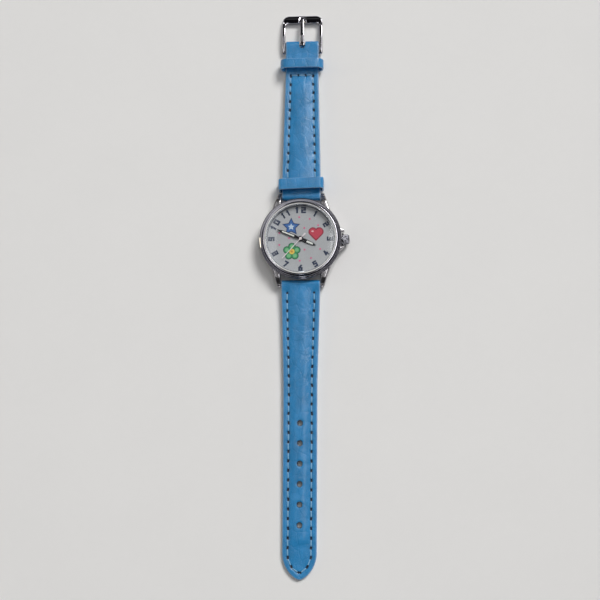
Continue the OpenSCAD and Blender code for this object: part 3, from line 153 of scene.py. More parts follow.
def blockLoop(halfWidth, halfHeight, radius, steps=5):
    # an upright rectangle with quarter-circle corners: corner centre plus radius (cos a, sin a).
    # halfWidth and halfHeight may be columns, one row for each place along a piece
    w, h = np.atleast_1d(halfWidth).reshape(-1, 1, 1), np.atleast_1d(halfHeight).reshape(-1, 1, 1)
    r = minimum(radius, minimum(w, h))
    corner = array([[1, 1], [-1, 1], [-1, -1], [1, -1]])[None, :, None, :]
    angle = (arange(4)[:, None] + linspace(0, 1, steps)[None, :]) * pi / 2
    x = corner[..., 0] * (w - r) + r * cos(angle)[None]
    z = corner[..., 1] * (h - r) + r * sin(angle)[None]
    return columns(x, z).reshape(x.shape[0], -1, 2)


def gentleLoop(power, steps):
    # a superellipse: sign(cos a) |cos a|^(2/power), sign(sin a) |sin a|^(2/power)
    circle = columns(cos(around(steps)), sin(around(steps)))
    return np.sign(circle) * np.abs(circle) ** (2 / power)


def evenSteps(points, count, closed=False):
    # the same path walked in count equal steps of its length
    p = concatenate([points, points[:1]]) if closed else points
    gone = concatenate([[0], np.cumsum(np.linalg.norm(np.diff(p, axis=0), axis=1))])
    at = linspace(0, gone[-1], count, endpoint=not closed)
    return columns(*(interp(at, gone, line) for line in p.T))


def nearest(x, y, centres):
    # squared distance to the nearest of the centres
    return ((x[..., None] - centres[:, 0]) ** 2 + (y[..., None] - centres[:, 1]) ** 2).min(-1)


# ---- meshes

def gridFaces(rows, columnCount, closedRows, closedColumns):
    # face (i, j) joins the points (i, j), (i+1, j), (i+1, j+1), (i, j+1); closed ways wrap round
    i = arange(rows if closedRows else rows - 1)[:, None]
    j = arange(columnCount if closedColumns else columnCount - 1)[None, :]
    here, down, right = i * columnCount, (i + 1) % rows * columnCount, (j + 1) % columnCount
    return columns(here + j, down + j, down + right, here + right).reshape(-1, 4)


def rods(*grids):
    # shells closed round their columns; each end gets a row of points in the end row's middle
    ends = [[np.broadcast_to(g[k].mean(0), g[k].shape)[None] for k in (0, -1)] for g in grids]
    return [(concatenate([first, g, last]), False, True)
            for g, (first, last) in zip(grids, ends)]


def hoop(grid, closedColumns=True):
    # one shell closed round its rows, and mostly round its columns too
    return [(grid, True, closedColumns)]


def outwards(points, faces):
    # turns the faces round if the volume, the sum of p0 . (p1 x p2) over them, is negative
    a, b, c, d = (points[faces[:, k]] for k in range(4))
    volume = np.sum(a * np.cross(b, c)) + np.sum(a * np.cross(c, d))
    return faces if volume > 0 else faces[:, ::-1]


def makeMesh(name, shells, flip=(1, 1, 1)):
    # shells: list of (points[rows, columns, 3] in mm, rows closed, columns closed), their
    # points times flip; points nearer than the weld distance, in metres, become one
    weld = 2e-7
    points, faces, start = [], [], 0
    for grid, closedRows, closedColumns in shells:
        flat = grid.reshape(-1, 3) * flip
        quads = gridFaces(grid.shape[0], grid.shape[1], closedRows, closedColumns)
        faces.append(outwards(flat, quads) + start)
        points.append(flat)
        start += len(flat)
    mesh = bpy.data.meshes.new(name)
    mesh.from_pydata((concatenate(points) * mm).tolist(), [], concatenate(faces).tolist())
    body = bmesh.new()
    body.from_mesh(mesh)
    bmesh.ops.remove_doubles(body, verts=body.verts, dist=weld)
    body.to_mesh(mesh)
    body.free()
    return inScene(name, mesh)


def combine(thing, tool, operation):
    # thing joined with tool, or cut by it, as a plain mesh
    step = thing.modifiers.new("combine", "BOOLEAN")
    step.operation, step.solver, step.object = operation, "EXACT", tool
    view = bpy.context.evaluated_depsgraph_get()
    done = bpy.data.meshes.new_from_object(thing.evaluated_get(view))
    thing.modifiers.clear()
    old, thing.data = thing.data, done
    bpy.data.meshes.remove(old)
    bpy.data.objects.remove(tool)


def meshPoints(thing):
    # the mesh's points in mm
    points = np.zeros(len(thing.data.vertices) * 3)
    thing.data.vertices.foreach_get("co", points)
    return points.reshape(-1, 3) / mm


def addValue(thing, name, values):
    # a number for each point, for the material to read
    thing.data.attributes.new(name, "FLOAT", "POINT").data.foreach_set(
        "value", np.asarray(values, np.float32))


def addPiece(thing, body, slotName, replaced, crease=35, look=None):
    # a finished piece: sharp where faces meet at more than crease degrees, with the slot's own
    # look or another of looks
    thing.data.shade_smooth()
    thing.data.set_sharp_from_angle(angle=radians(crease))
    thing.data.materials.clear()
    thing.data.materials.append(looks[look or slotName])
    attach(thing, body)
    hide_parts(*replaced)


def turned(profile, steps=192):
    # a closed outline of (radius, z) carried round the z axis
    p, a = array(profile, float), around(steps)[:, None]
    return columns(cos(a) * p[:, 0], sin(a) * p[:, 0], p[:, 1])


# ---- materials

class Wire:
    # a value on its way through a material; arithmetic on it adds Math nodes
    def __init__(self, tree, socket=None):
        self.tree, self.socket = tree, socket

    def node(self, kind, settings={}, values={}, out=0):
        # any shader node: first its settings, then the values or links of its sockets
        made = self.tree.nodes.new("ShaderNode" + kind)
        for name, value in settings.items():
            if name == "stops":
                stops = [(place, (*colour, 1.0)) for place, colour in value]
                ramp = made.color_ramp.elements
                ramp[0].position, ramp[0].color = stops[0]
                ramp[1].position, ramp[1].color = stops[-1]
                for place, colour in stops[1:-1]:
                    ramp.new(place).color = colour
            else:
                setattr(made, name, value)
        for name, value in values.items():
            if isinstance(value, Wire):
                self.tree.links.new(value.socket, made.inputs[name])
            else:
                made.inputs[name].default_value = value
        return Wire(self.tree, made.outputs[out] if len(made.outputs) else None)

    def maths(self, operation, *values):
        return self.node("Math", {"operation": operation}, dict(enumerate(values)))

    def __add__(self, other): return self.maths("ADD", self, other)
    def __radd__(self, other): return self.maths("ADD", other, self)
    def __sub__(self, other): return self.maths("SUBTRACT", self, other)
    def __rsub__(self, other): return self.maths("SUBTRACT", other, self)
    def __mul__(self, other): return self.maths("MULTIPLY", self, other)
    def __rmul__(self, other): return self.maths("MULTIPLY", other, self)
    def __truediv__(self, other): return self.maths("DIVIDE", self, other)
    def __pow__(self, other): return self.maths("POWER", self, other)

    def away(self, x, y):
        # distance from the origin: the root of x squared plus y squared
        return self.maths("SQRT", x ** 2.0 + y ** 2.0)

    def between(self, low, high, bottom=0.0, top=1.0):
        # eased step of this value from low to high
        return self.node("MapRange", {"interpolation_type": "SMOOTHSTEP"},
                         {0: self, 1: low, 2: high, 3: bottom, 4: top})

    def mix(self, a, b):
        # colour a where this value is 0, colour b where it is 1
        a, b = (c if isinstance(c, Wire) else (*c, 1.0) for c in (a, b))
        return self.node("Mix", {"data_type": "RGBA"}, {0: self, 6: a, 7: b}, 2)

    def objectPlace(self):
        return self.node("TexCoord", out=3)

    def noise(self, place, scale, detail=3.0, rough=0.5):
        return self.node("TexNoise", {}, {"Vector": place, "Scale": scale, "Detail": detail,
                                          "Roughness": rough})

    def cells(self, place, scale):
        return self.node("TexVoronoi", {"feature": "DISTANCE_TO_EDGE"},
                         {"Vector": place, "Scale": scale})

    def stretched(self, place, scale):
        return self.node("Mapping", {}, {"Vector": place, "Scale": scale})

    def attribute(self, name):
        return self.node("Attribute", {"attribute_name": name}, {}, 2)

    def parts(self, place):
        return [self.node("SeparateXYZ", {}, {"Vector": place}, k) for k in range(3)]

    def bump(self, height, distance, strength):
        return self.node("Bump", {}, {"Height": height, "Distance": distance,
                                      "Strength": strength})


# the room by height of the direction: pale at the horizon, a dim band, soft boxes at half height
# and a dark ceiling. The boxes stand to the left and right, so polished metal is dark above
# and below and has its bright edges at the sides
room = dict(strength=0.95, sides=(0.30, 0.60), faint=0.12, boxesFrom=(0.2, 0.4), stops=[
    (0.0, (0.66, 0.66, 0.67)), (0.12, (0.58, 0.58, 0.60)), (0.20, (0.06, 0.06, 0.075)),
    (0.63, (0.06, 0.06, 0.075)), (0.67, (0.80, 0.79, 0.77)), (0.73, (0.80, 0.79, 0.77)),
    (0.78, (0.05, 0.05, 0.07)), (1.0, (0.03, 0.03, 0.045))])
sky = bpy.data.worlds.new("studio")
sky.use_nodes = True
sky.node_tree.nodes.clear()
air = Wire(sky.node_tree)
sideways, _, height = air.parts(air.objectPlace())
glow = air.node("ValToRGB", {"stops": room["stops"]}, {"Fac": height})
boxes = air.maths("ABSOLUTE", sideways).between(*room["sides"], room["faint"], 1.0)
raised = height.between(*room["boxesFrom"])
shine = air.node("Background", {}, {
    "Color": glow, "Strength": (1.0 - raised + raised * boxes) * room["strength"]})
air.node("OutputWorld", {}, {"Surface": shine})
bpy.context.scene.world = sky


def newLook(name):
    # an empty material, held by the wire that fills it, and the place on the object
    look = bpy.data.materials.new(name)
    look.use_nodes = True
    look.node_tree.nodes.clear()
    w = Wire(look.node_tree)
    w.look = look
    return w, w.objectPlace()


def shaded(w, colour, rough, normal=None, more={}):
    # closes a material with one principled shader
    values = {"Base Color": colour, "Roughness": rough, **more}
    if normal:
        values["Normal"] = normal
    shader = w.node("BsdfPrincipled", {}, values)
    w.node("OutputMaterial", {}, {"Surface": shader})
    return w.look


def shade(tint, share, more=0.0):
    # the colour times share plus more, no part of it over 1
    return [min(c * share + more, 1) for c in tint]


# the last colour is the near-black of the painted shade in the needle and buckle holes
leatherSkin = dict(clouds=170, patches=420, blocks=310, pores=2600, grain=3400, wrinkle=900,
                   relief=0.00009, coat=0.22, coatRough=0.16, holeShade=(0.004, 0.012, 0.03))


def leatherLook(name, tint, gloss):
    # pigment clouds, fine pores, shallow embossed blocks, pale worn edges, and painted shade
    # in the blocks' grooves and in the needle and buckle holes
    skin, (w, place) = leatherSkin, newLook(name)
    clouds = w.noise(place, skin["clouds"], 4)
    patches = w.noise(w.stretched(place, (1.0, 0.35, 1.0)), skin["patches"])
    edge, pit = w.attribute("edgeNear"), w.attribute("pitNear")
    colour = (clouds.between(0.3, 0.7) * 0.55 + patches.between(0.32, 0.68) * 0.45).mix(
        shade(tint, 0.86), shade(tint, 1.16))
    blocks = w.cells(w.stretched(place, (1.0, 0.72, 1.0)), skin["blocks"]).between(0.0, 0.10)
    # darker lines along the grooves between the embossed blocks: painted shade
    colour = (1 - blocks).between(0, 1, 0, 0.07).mix(colour, shade(tint, 0.55))
    colour = (edge * (0.55 + 0.35 * patches)).mix(colour, shade(tint, 0.75, 0.30))
    # near-black in and round the needle and buckle holes: painted shade
    colour = pit.between(0.0, 0.6).mix(colour, skin["holeShade"])
    pores = w.cells(place, skin["pores"]).between(0.0, 0.16)
    grain = w.noise(place, skin["grain"], 3, 0.6)
    wrinkle = w.noise(w.stretched(place, (1.0, 0.5, 1.0)), skin["wrinkle"], 4, 0.6)
    height = pores * 0.25 + grain * 0.35 + wrinkle * 0.8 + blocks * 0.6
    return shaded(w, colour, gloss + 0.12 * clouds + 0.06 * (1 - pores) + 0.3 * pit,
                  w.bump(height, skin["relief"], 0.6),
                  {"Specular IOR Level": 0.5, "Coat Weight": skin["coat"] * (1 - pit),
                   "Coat Roughness": skin["coatRough"]})


def liningLook():
    # short fibres and broad stains between two greys
    w, place = newLook("liningLeather")
    fibres = w.noise(w.stretched(place, (1.0, 0.6, 1.0)), 1500, 5, 0.7)
    stain = w.noise(place, 120)
    colour = (fibres * 0.4 + stain * 0.6).between(0.3, 0.7).mix((0.42, 0.50, 0.55),
                                                                (0.60, 0.67, 0.70))
    pores = w.cells(place, 2100).between(0, 0.2)
    return shaded(w, colour, 0.55 + 0.2 * fibres, w.bump(pores * 0.5 + fibres, 0.00006, 0.6))


def threadLook():
    # two strands laid round each other: ridges follow the twist numbers stored on the stitches
    w, place = newLook("thread")
    strand = w.maths("ABSOLUTE", w.maths("SINE", w.attribute("twist")))
    fuzz = w.noise(place, 9000)
    # darker in the grooves between the strands, lighter on their crowns: painted shade, with random
    # fuzz
    colour = (strand * 0.75 + fuzz * 0.25).mix((0.10, 0.28, 0.46), (0.28, 0.54, 0.76))
    return shaded(w, colour, 0.5 + 0.25 * fuzz, w.bump(strand + fuzz * 0.4, 0.00005, 0.8),
                  {"Sheen Weight": 0.25, "Sheen Roughness": 0.4})


def metalLook(name, tint, rough, spread=0.05, scratch=0.25, grain=(1.0, 1.0, 1.0)):
    # polished or brushed metal: cloudy polish, hairlines along the long way of the grain
    w, place = newLook(name)
    haze = w.noise(place, 260, 4)
    lines = w.noise(w.stretched(place, grain), 2500, 4, 0.7)
    return shaded(w, haze.between(0.3, 0.7).mix(shade(tint, 0.93), tint),
                  rough + spread * haze + spread * lines, w.bump(lines, 0.00001, scratch),
                  {"Metallic": 1.0})


def turnedLook(name, tint, rough, depth=0.4):
    # metal turned on a lathe: fine rings, noise that depends on the distance from the axis
    w, place = newLook(name)
    x, y, _ = w.parts(place)
    rings = w.node("TexNoise", {"noise_dimensions": "1D"},
                   {"W": w.away(x, y) * 9000.0, "Scale": 1.0, "Detail": 4.0, "Roughness": 0.7})
    haze = w.noise(place, 300)
    return shaded(w, rings.between(0.3, 0.7).mix(shade(tint, 0.86), tint),
                  rough + 0.12 * rings + 0.06 * haze, w.bump(rings, 0.00001, depth),
                  {"Metallic": 1.0})


def glassLook():
    # clear mineral glass: it mirrors 0.04 + 0.96 (1 - cos)^5 of what meets it, the same from both
    # sides, so that light reaches the dial; its ground bevel looks pale
    w, place = newLook("mineralGlass")
    x, y, _ = w.parts(place)
    bevel = w.away(x, y).between(0.01222, 0.01236)
    smears = w.noise(place, 180, 4)
    facing = w.node("LayerWeight", {}, {"Blend": 0.5}, 1)
    mirror = 0.04 + 0.96 * facing ** 5.0
    return shaded(w, bevel.mix((0.93, 0.95, 0.97), (0.80, 0.84, 0.88)),
                  0.02 + 0.03 * smears + 0.16 * bevel, None,
                  {"Metallic": 1.0, "Alpha": mirror * 0.9 + bevel * 0.38})


def paintLook(name, tint, rough, speck=0.06, scale=1800, relief=0.3, coat=0.0):
    # print, lacquer, moulded nylon, rubber: small clouds and a fine tooth
    w, place = newLook(name)
    clouds, tooth = w.noise(place, scale * 0.12, 4), w.noise(place, scale, 3, 0.6)
    colour = (clouds * 0.6 + tooth * 0.4).between(0.3, 0.7).mix(
        shade(tint, 1 - speck), shade(tint, 1 + speck))
    return shaded(w, colour, rough + 0.1 * tooth, w.bump(tooth, 0.00002, relief),
                  {"Coat Weight": coat, "Coat Roughness": 0.1})


def printLook(w, place, colour):
    # screen print: fine dots of ink, a little uneven
    dots = w.noise(place, 5200, 2)
    colour = dots.between(0.25, 0.75, 0.0, 0.14).mix(colour, (0.02, 0.02, 0.03))
    return shaded(w, colour, 0.42 + 0.12 * dots, w.bump(dots, 0.00001, 0.3))


def woundLook():
    # enamelled wire wound round the x axis: ridges along x
    w, place = newLook("copperWire")
    x, _, _ = w.parts(place)
    turns = w.maths("ABSOLUTE", w.maths("SINE", x * 45000.0))
    haze = w.noise(place, 900)
    # dark in the valleys between the turns: painted shade
    return shaded(w, turns.mix((0.20, 0.06, 0.02), (0.66, 0.26, 0.10)), 0.25 + 0.1 * haze,
                  w.bump(turns, 0.00003, 0.8), {"Metallic": 1.0})


motifs = dict(
    star=dict(centre=(-3.45, 4.41), size=3.42, turn=90.0, slope=63.7, pale=(0.34, 0.40),
              rim=(0.77, 0.83)),
    flower=dict(centre=(-3.13, -4.64), size=3.24, turn=90.0, petalAt=0.58, petalR=0.42,
                heart=(0.95, 1.05), eye=(0.34, 0.42)),
    heart=dict(centre=(5.55, -0.84), lobe=1.617, rim=(0.36, 0.48), glint=(-1.25, 3.6)))


def fromMiddle(w, place, m):
    # place in mm counted from the motif's middle
    x, y, _ = w.parts(place)
    return x * 1000.0 - m["centre"][0], y * 1000.0 - m["centre"][1]


def polar(w, place, m, folds=5):
    # distance in mm from the motif's middle, and the angle from its nearest point or petal
    dx, dy = fromMiddle(w, place, m)
    angle = w.maths("ARCTAN2", dy, dx) - radians(m["turn"])
    return w.away(dx, dy), w.maths("PINGPONG", angle, pi / folds)


def starLook(m):
    # share of the way from the middle to the star's edge: far cos(angle - slope) over its value
    # at a point of the star; a pale heart, a blue body, a navy rim
    w, place = newLook("inkBlue")
    far, angle = polar(w, place, m)
    slope = radians(m["slope"])
    share = far * w.maths("COSINE", angle - slope) / (m["size"] * cos(slope))
    colour = share.between(*m["pale"]).mix((0.56, 0.70, 0.84), (0.04, 0.15, 0.44))
    return printLook(w, place, share.between(*m["rim"]).mix(colour, (0.012, 0.045, 0.17)))


def flowerLook(m):
    # petals by distance from each petal's middle, with a dark rim; a yellow heart and a brown
    # eye by distance from the flower's middle
    w, place = newLook("inkGreen")
    far, angle = polar(w, place, m)
    along = far * w.maths("COSINE", angle) - m["size"] * m["petalAt"]
    out = w.away(along, far * w.maths("SINE", angle))
    edge = m["size"] * m["petalR"]
    colour = out.between(edge * 0.45, edge * 0.55).mix((0.20, 0.55, 0.26), (0.05, 0.33, 0.13))
    colour = out.between(edge - 0.34, edge - 0.26).mix(colour, (0.015, 0.14, 0.06))
    colour = far.between(*m["heart"]).mix((0.88, 0.62, 0.10), colour)
    return printLook(w, place, far.between(*m["eye"]).mix((0.62, 0.30, 0.05), colour))


def heartLook(m):
    # distance to the heart's edge: lobe less the distance from the line along its lower side to
    # the lobe's middle, worked out on one half with |x|; a dark rim and a pale glint
    slant, (w, place) = 0.7071, newLook("inkRed")
    x, dy = fromMiddle(w, place, m)
    dx = w.maths("ABSOLUTE", x)
    side, up = (dx + dy) * slant, (dy - dx) * slant
    past = w.maths("MAXIMUM", side - 2 * m["lobe"], 0.0)
    inside = m["lobe"] - w.away(past, up - m["lobe"])
    colour = inside.between(*m["rim"]).mix((0.30, 0.02, 0.05), (0.58, 0.05, 0.09))
    glint = w.away(x - m["glint"][0], (dy - m["glint"][1]) * 1.7)
    return printLook(w, place, glint.between(0.38, 0.55).mix((0.88, 0.55, 0.60), colour))


looks = dict(
    polished_chrome=metalLook("chrome", (0.48, 0.47, 0.51), 0.035, 0.03, 0.03),
    case_chrome=metalLook("caseChrome", (0.40, 0.385, 0.40), 0.17, 0.05, 0.05),
    # the crown's chrome is a darker copy of the same plating: painted shade
    crown_chrome_shaded=metalLook("crownChromeShaded", (0.27, 0.27, 0.30), 0.20, 0.05, 0.05),
    back_steel=turnedLook("backSteel", (0.60, 0.60, 0.61), 0.24),
    mineral_glass=glassLook(),
    dial_paint=paintLook("dialPaint", (0.44, 0.46, 0.485), 0.38, 0.03, 2600, 0.12, 0.25),
    ring_silver=turnedLook("ringSilver", (0.40, 0.40, 0.43), 0.24, 0.05),
    ink_dark=paintLook("inkDark", (0.018, 0.032, 0.075), 0.4, 0.25, 4200, 0.2),
    ink_blue=starLook(motifs["star"]),
    ink_green=flowerLook(motifs["flower"]),
    ink_red=heartLook(motifs["heart"]),
    ink_pink=paintLook("inkPink", (0.66, 0.16, 0.30), 0.45, 0.12, 4200, 0.2),
    hand_black=paintLook("handBlack", (0.012, 0.012, 0.016), 0.16, 0.3, 1500, 0.05, 0.6),
    hand_steel=metalLook("handSteel", (0.86, 0.80, 0.82), 0.30, 0.08, 0.2),
    lume=paintLook("lume", (0.80, 0.83, 0.80), 0.6, 0.06, 5200, 0.5),
    brass=turnedLook("brass", (0.72, 0.56, 0.27), 0.2),
    movement_steel=metalLook("movementSteel", (0.60, 0.60, 0.62), 0.18, 0.08, 0.3,
                             (1.0, 0.08, 1.0)),
    board=paintLook("board", (0.05, 0.22, 0.11), 0.35, 0.2, 1500, 0.3, 0.4),
    nylon=paintLook("nylon", (0.78, 0.78, 0.76), 0.45, 0.04, 1500, 0.2),
    seal=paintLook("seal", (0.018, 0.018, 0.020), 0.6, 0.2, 2600, 0.4),
    blue_leather=leatherLook("blueLeather", (0.022, 0.210, 0.470), 0.17),
    lining_leather=liningLook(),
    padding=paintLook("padding", (0.72, 0.66, 0.52), 0.9, 0.1, 1200, 0.9),
    thread=threadLook(),
    copper_wire=woundLook())
for part in frame["record"]["subparts"]:
    mesh = frame["nodes"][part["node"]].data
    mesh.materials.clear()
    mesh.materials.append(looks[part["material_slot"]])

# ---- table

table = dict(reach=9.0, height=-0.00002, colour=(0.80, 0.80, 0.80))
corners = [(x * table["reach"], y * table["reach"], table["height"])
           for x in (-1, 1) for y in (-1, 1)]
tableMesh = bpy.data.meshes.new("table")
tableMesh.from_pydata(corners, [], [[0, 2, 3, 1]])
tableTop = inScene("table", tableMesh)
tableMesh.materials.append(paintLook("tablePaper", table["colour"], 0.75, 0.008, 300, 0.05))

# ---- strap leather

strap = dict(lugHalf=7.0, endHalf=6.1, lugLoopY=16.2, lugLoopZ=2.25, lugLoopR=1.5, flap=18.0,
             boreR=0.7, stitchInset=2.0, padEdge=2.45, edgeR=0.42, shelf=0.45, lining=0.7,
             buckleY=74.2, buckleZ=1.95, buckleR=1.2, buckleFlap=1.6, upperPadEnd=61.6,
             lowerPadEnd=109.5, padRamp=3.2, noseY=111.2, noseL=9.2, low=0.75, step=0.3,
             slotY=72.5, slotHalf=1.15,
             edgeColumns=(0, 0.015, 0.05, 0.11, 0.2, 0.31, 0.42, 0.6, 0.9, 1.2, 1.4, 1.55, 1.7,
                          1.85, 2.0, 2.15, 2.3, 2.45, 2.6, 2.9))
liningForm = dict(start=18.05, end=72.55, inset=0.04, corner=0.16)
stitch = dict(pitch=3.3, length=2.3, width=0.42, start=19.2, crossY=62.1, crossPitch=2.74,
              holeOut=0.28, holeR=0.38, tipGap=2.7, wobble=(0.10, 0.12, 0.10), half=0.15, arch=0.10,
              dive=0.16)
holes = dict(firstY=66.0, pitch=7.12, count=6, radius=0.875)
# depths and widths of what sewing, punching and wear press into the leather; a crease has its
# place, lean and depth
wear = dict(channel=(0.13, 0.45), across=(0.10, 0.5), needle=0.30, punch=(0.13, 0.4),
            creases=((24.5, 0.12, 0.05), (33.0, -0.10, 0.05), (41.5, 0.16, 0.04),
                     (52.0, -0.2, 0.03)), creaseWidth=0.35,
            lugCrease=dict(y=17.0, lean=0.14, depth=0.07, width=0.32))


def upperHalf(y):
    # straight taper from the lug to the buckle, its corners eased
    return bentLine(y, [25, 62], [strap["lugHalf"], strap["endHalf"]], 2.5)


def lowerHalf(y):
    # straight taper, then end half width times (1 - t squared)^0.66 over the nose
    t = clip((y - strap["noseY"]) / strap["noseL"], 0, 1)
    return bentLine(y, [17.7, 52], [strap["lugHalf"], strap["endHalf"]], 2.5) * (1 - t * t) ** 0.66


def upperTop(y):
    # falls in a straight line from the lug to the buckle
    return interp(y, [16.2, strap["buckleY"]], [3.75, 3.15])


def lowerTop(y):
    # falls steeply behind the lug, then slowly to the nose
    return bentLine(y, [16.2, 28, 120.7], [3.75, 2.85, 1.9], 3.0)


def upperLow(y):
    # level
    return np.full_like(np.asarray(y, float), strap["low"])


def lowerLow(y):
    # slopes down to the table, then lies on it
    return bentLine(y, [16.2, 28], [strap["low"], 0.0], 0.6) * (y < 28.6)


def form(upper):
    # a strap piece's half width, top and underside by y; the lower piece lies at -y
    return (upperHalf, upperTop, upperLow) if upper else (lowerHalf, lowerTop, lowerLow)


noseRows = strap["noseY"] + strap["noseL"] * sin(linspace(0, pi / 2, 400))
noseOutline = columns(lowerHalf(noseRows), noseRows)
buckleHoles = columns(0.0, holes["firstY"] + holes["pitch"] * arange(holes["count"]))


def edgeGap(x, y, upper):
    # distance to the strap's edge: half width less |x|, and on the nose the nearest outline point
    gap = form(upper)[0](y) - np.abs(x)
    if not upper:
        near = y > strap["noseY"] - 1
        gap[near] = minimum(gap[near], sqrt(nearest(np.abs(x[near]), y[near], noseOutline)))
    return maximum(gap, 0)


def stitchPlaces(upper):
    # middles and headings of the stitches at even steps of the sewn line, stitchInset in from the
    # edge: up both sides, then three across, or on round the nose to one needle hole at its tip
    s, fineness = strap, 20
    y = linspace(stitch["start"], stitch["crossY"] - 0.3 if upper else s["noseY"], 400)
    line = columns(form(upper)[0](y) - s["stitchInset"], y)
    if not upper:
        t = linspace(0, 1, 200)[1:]
        line = concatenate([line, columns(
            (s["endHalf"] - s["stitchInset"]) * (1 - t ** 2) ** 0.62,
            s["noseY"] + (s["noseL"] - stitch["tipGap"]) * t)])
    length = np.linalg.norm(np.diff(line, axis=0), axis=1).sum()
    count = int(round(length / stitch["pitch"]))
    fine = evenSteps(line, fineness * count + 1)
    at = fineness * arange(count) + fineness // 2
    step = fine[at + 3] - fine[at - 3]
    heading = np.arctan2(step[:, 1], step[:, 0])
    rows = [columns(fine[at, 0], fine[at, 1], heading),
            columns(-fine[at, 0], fine[at, 1], pi - heading)]
    if upper:
        rows.append(columns((arange(3) - 1) * stitch["crossPitch"], stitch["crossY"], 0.0))
    places = concatenate(rows)
    # an uneven number for each stitch: the part after the point of a large sine
    large = sin(arange(len(places)) * 12.9898) * 43758.5453
    return places + (large - np.floor(large) - 0.5)[:, None] * array([stitch["wobble"]])


def needleHoles(places):
    # just past both ends of every stitch
    reach = (stitch["length"] / 2 + stitch["holeOut"]) * columns(
        cos(places[:, 2]), sin(places[:, 2]))
    return concatenate([places[:, :2] + reach, places[:, :2] - reach])


def closeness(x, y, centres, radius):
    # exp(-(distance / radius) squared) to the nearest of the centres
    return np.exp(-nearest(x, y, centres) / radius ** 2)


def strapRise(x, y, upper, places):
    # height over the sewn border: rounded edges, crowned padding, the sewn channel, needle
    # dents, dents round the buckle holes, and slow waves and creases of worn leather
    half, gap, m = form(upper)[0], edgeGap(x, y, upper), wear
    padEnd = strap["upperPadEnd" if upper else "lowerPadEnd"]
    share = clip((gap - strap["padEdge"]) / maximum(half(y) - strap["padEdge"], 0.3), 0, 1)
    crown = strap["shelf"] * (1 - (1 - share) ** 2.1) * eased(16.5, 19.5, y) \
        * (1 - eased(padEnd - strap["padRamp"], padEnd, y))
    body = eased(17.5, 20, y)
    channel = m["channel"][0] * bell(gap - strap["stitchInset"], m["channel"][1]) * body
    if upper:
        channel = channel * (1 - eased(61.8, 63.1, y)) + m["across"][0] * bell(
            y - stitch["crossY"], m["across"][1]) * (gap > 1.6)
    dents = m["needle"] * closeness(x, y, needleHoles(places), stitch["holeR"])
    waves = 0.035 * sin(0.55 * y + 0.6 * x) * sin(0.21 * y - 0.9 * x + 1.0) \
        + 0.02 * sin(1.35 * y + 1.1 * sin(0.8 * x) + 2.0) * sin(0.7 * x + 0.3 * y)
    rise = crown - channel - dents + waves * body * eased(0.3, 2.5, gap) \
        - edgeDrop(gap, strap["edgeR"])
    if upper:
        k = m["lugCrease"]
        return rise - k["depth"] * bell(y - k["y"] - k["lean"] * x, k["width"]) \
            * eased(0.6, 2.5, gap) * eased(-1.5, 2.0, x)
    far = sqrt(nearest(x, y, buckleHoles))
    rise -= m["punch"][0] * bell(maximum(far - holes["radius"], 0), m["punch"][1])
    for creaseY, lean, depth in m["creases"]:
        rise -= depth * bell(y - creaseY - lean * x - 0.5 * sin(1.1 * x), m["creaseWidth"]) \
            * eased(0.8, 2.8, gap)
    return rise


def bend(y, z, r, a):
    # an arc round (y, z): y - r sin a, z - r cos a
    return columns(y - r * sin(a), z - r * cos(a))


def strapLeather(upper, places):
    # closed section of columns, outer side then inner side, carried along a path that comes from
    # under the lug loop, round it, along the top and round the buckle loop or out to the nose
    s = strap
    half, top, low = form(upper)
    turnUp, turnDown = linspace(0, pi, 22), linspace(0, pi, 20)[1:]
    under = linspace(s["flap"], s["lugLoopY"], 5)[:-1]
    back = linspace(s["buckleY"], s["buckleY"] - s["buckleFlap"], 5)[1:]
    tip = s["noseY"] + s["noseL"] * sin(linspace(0, 1.52, 60)[1:])
    end = s["buckleY"] if upper else s["noseY"]
    along = linspace(s["lugLoopY"], end, int((end - s["lugLoopY"]) / s["step"]))[1:]
    shelf = s["shelf"] * eased(16.2, 19.3, along)
    innerTop = maximum(low(along) + s["lining"] + 0.01,
                       2.95 - 0.83 * maximum(along - s["lugLoopY"], 0))
    if upper:
        shelf = shelf * (1 - eased(70.4, 73.8, along))
        innerTop = maximum(innerTop, 2.65 - 0.8 * maximum(s["buckleY"] - along, 0))

    def line(lugR, buckleR, overLow, alongZ, tipZ):
        # one side of the section along the whole path
        rows = [columns(under, low(under) + overLow),
                bend(s["lugLoopY"], s["lugLoopZ"], lugR, turnUp), columns(along, alongZ)]
        rows += [bend(s["buckleY"], s["buckleZ"], -buckleR, turnDown),
                 columns(back, low(back) + overLow)] if upper else [columns(tip, tipZ)]
        return concatenate(rows)

    outer = line(s["lugLoopR"], s["buckleR"], 0, top(along) - shelf, top(tip) - s["shelf"])
    inner = line(s["boreR"], s["boreR"], s["lining"] - 0.06, innerTop,
                 low(tip) + s["lining"] + 0.01)
    onTop = np.zeros(len(outer))
    first = len(under) + len(turnUp)
    onTop[first:first + len(along) + (0 if upper else len(tip))] = 1
    normal = unit(np.gradient(outer, axis=0)) @ array([[0, 1.0], [-1.0, 0]])
    rows, h = outer[:, 0], half(outer[:, 0])[:, None]
    edge = array(s["edgeColumns"])[None]
    squeeze = minimum(1, h / 4.6)
    middle = linspace(-1, 1, 25)[None, 1:-1]
    x = concatenate([-(h - edge * squeeze), (h - edge[0, -1] * squeeze) * middle,
                     (h - edge[:, ::-1] * squeeze)], 1)
    y = np.broadcast_to(rows[:, None], x.shape).copy()
    rise = np.where(onTop[:, None] > 0, strapRise(x, y, upper, places),
                    -edgeDrop(h - np.abs(x), s["edgeR"]))
    outerGrid = columns(x, y + normal[:, :1] * rise, outer[:, 1:] + normal[:, 1:] * rise)
    return concatenate([outerGrid, columns(x[:, ::-1], inner[:, :1], inner[:, 1:])], 1)


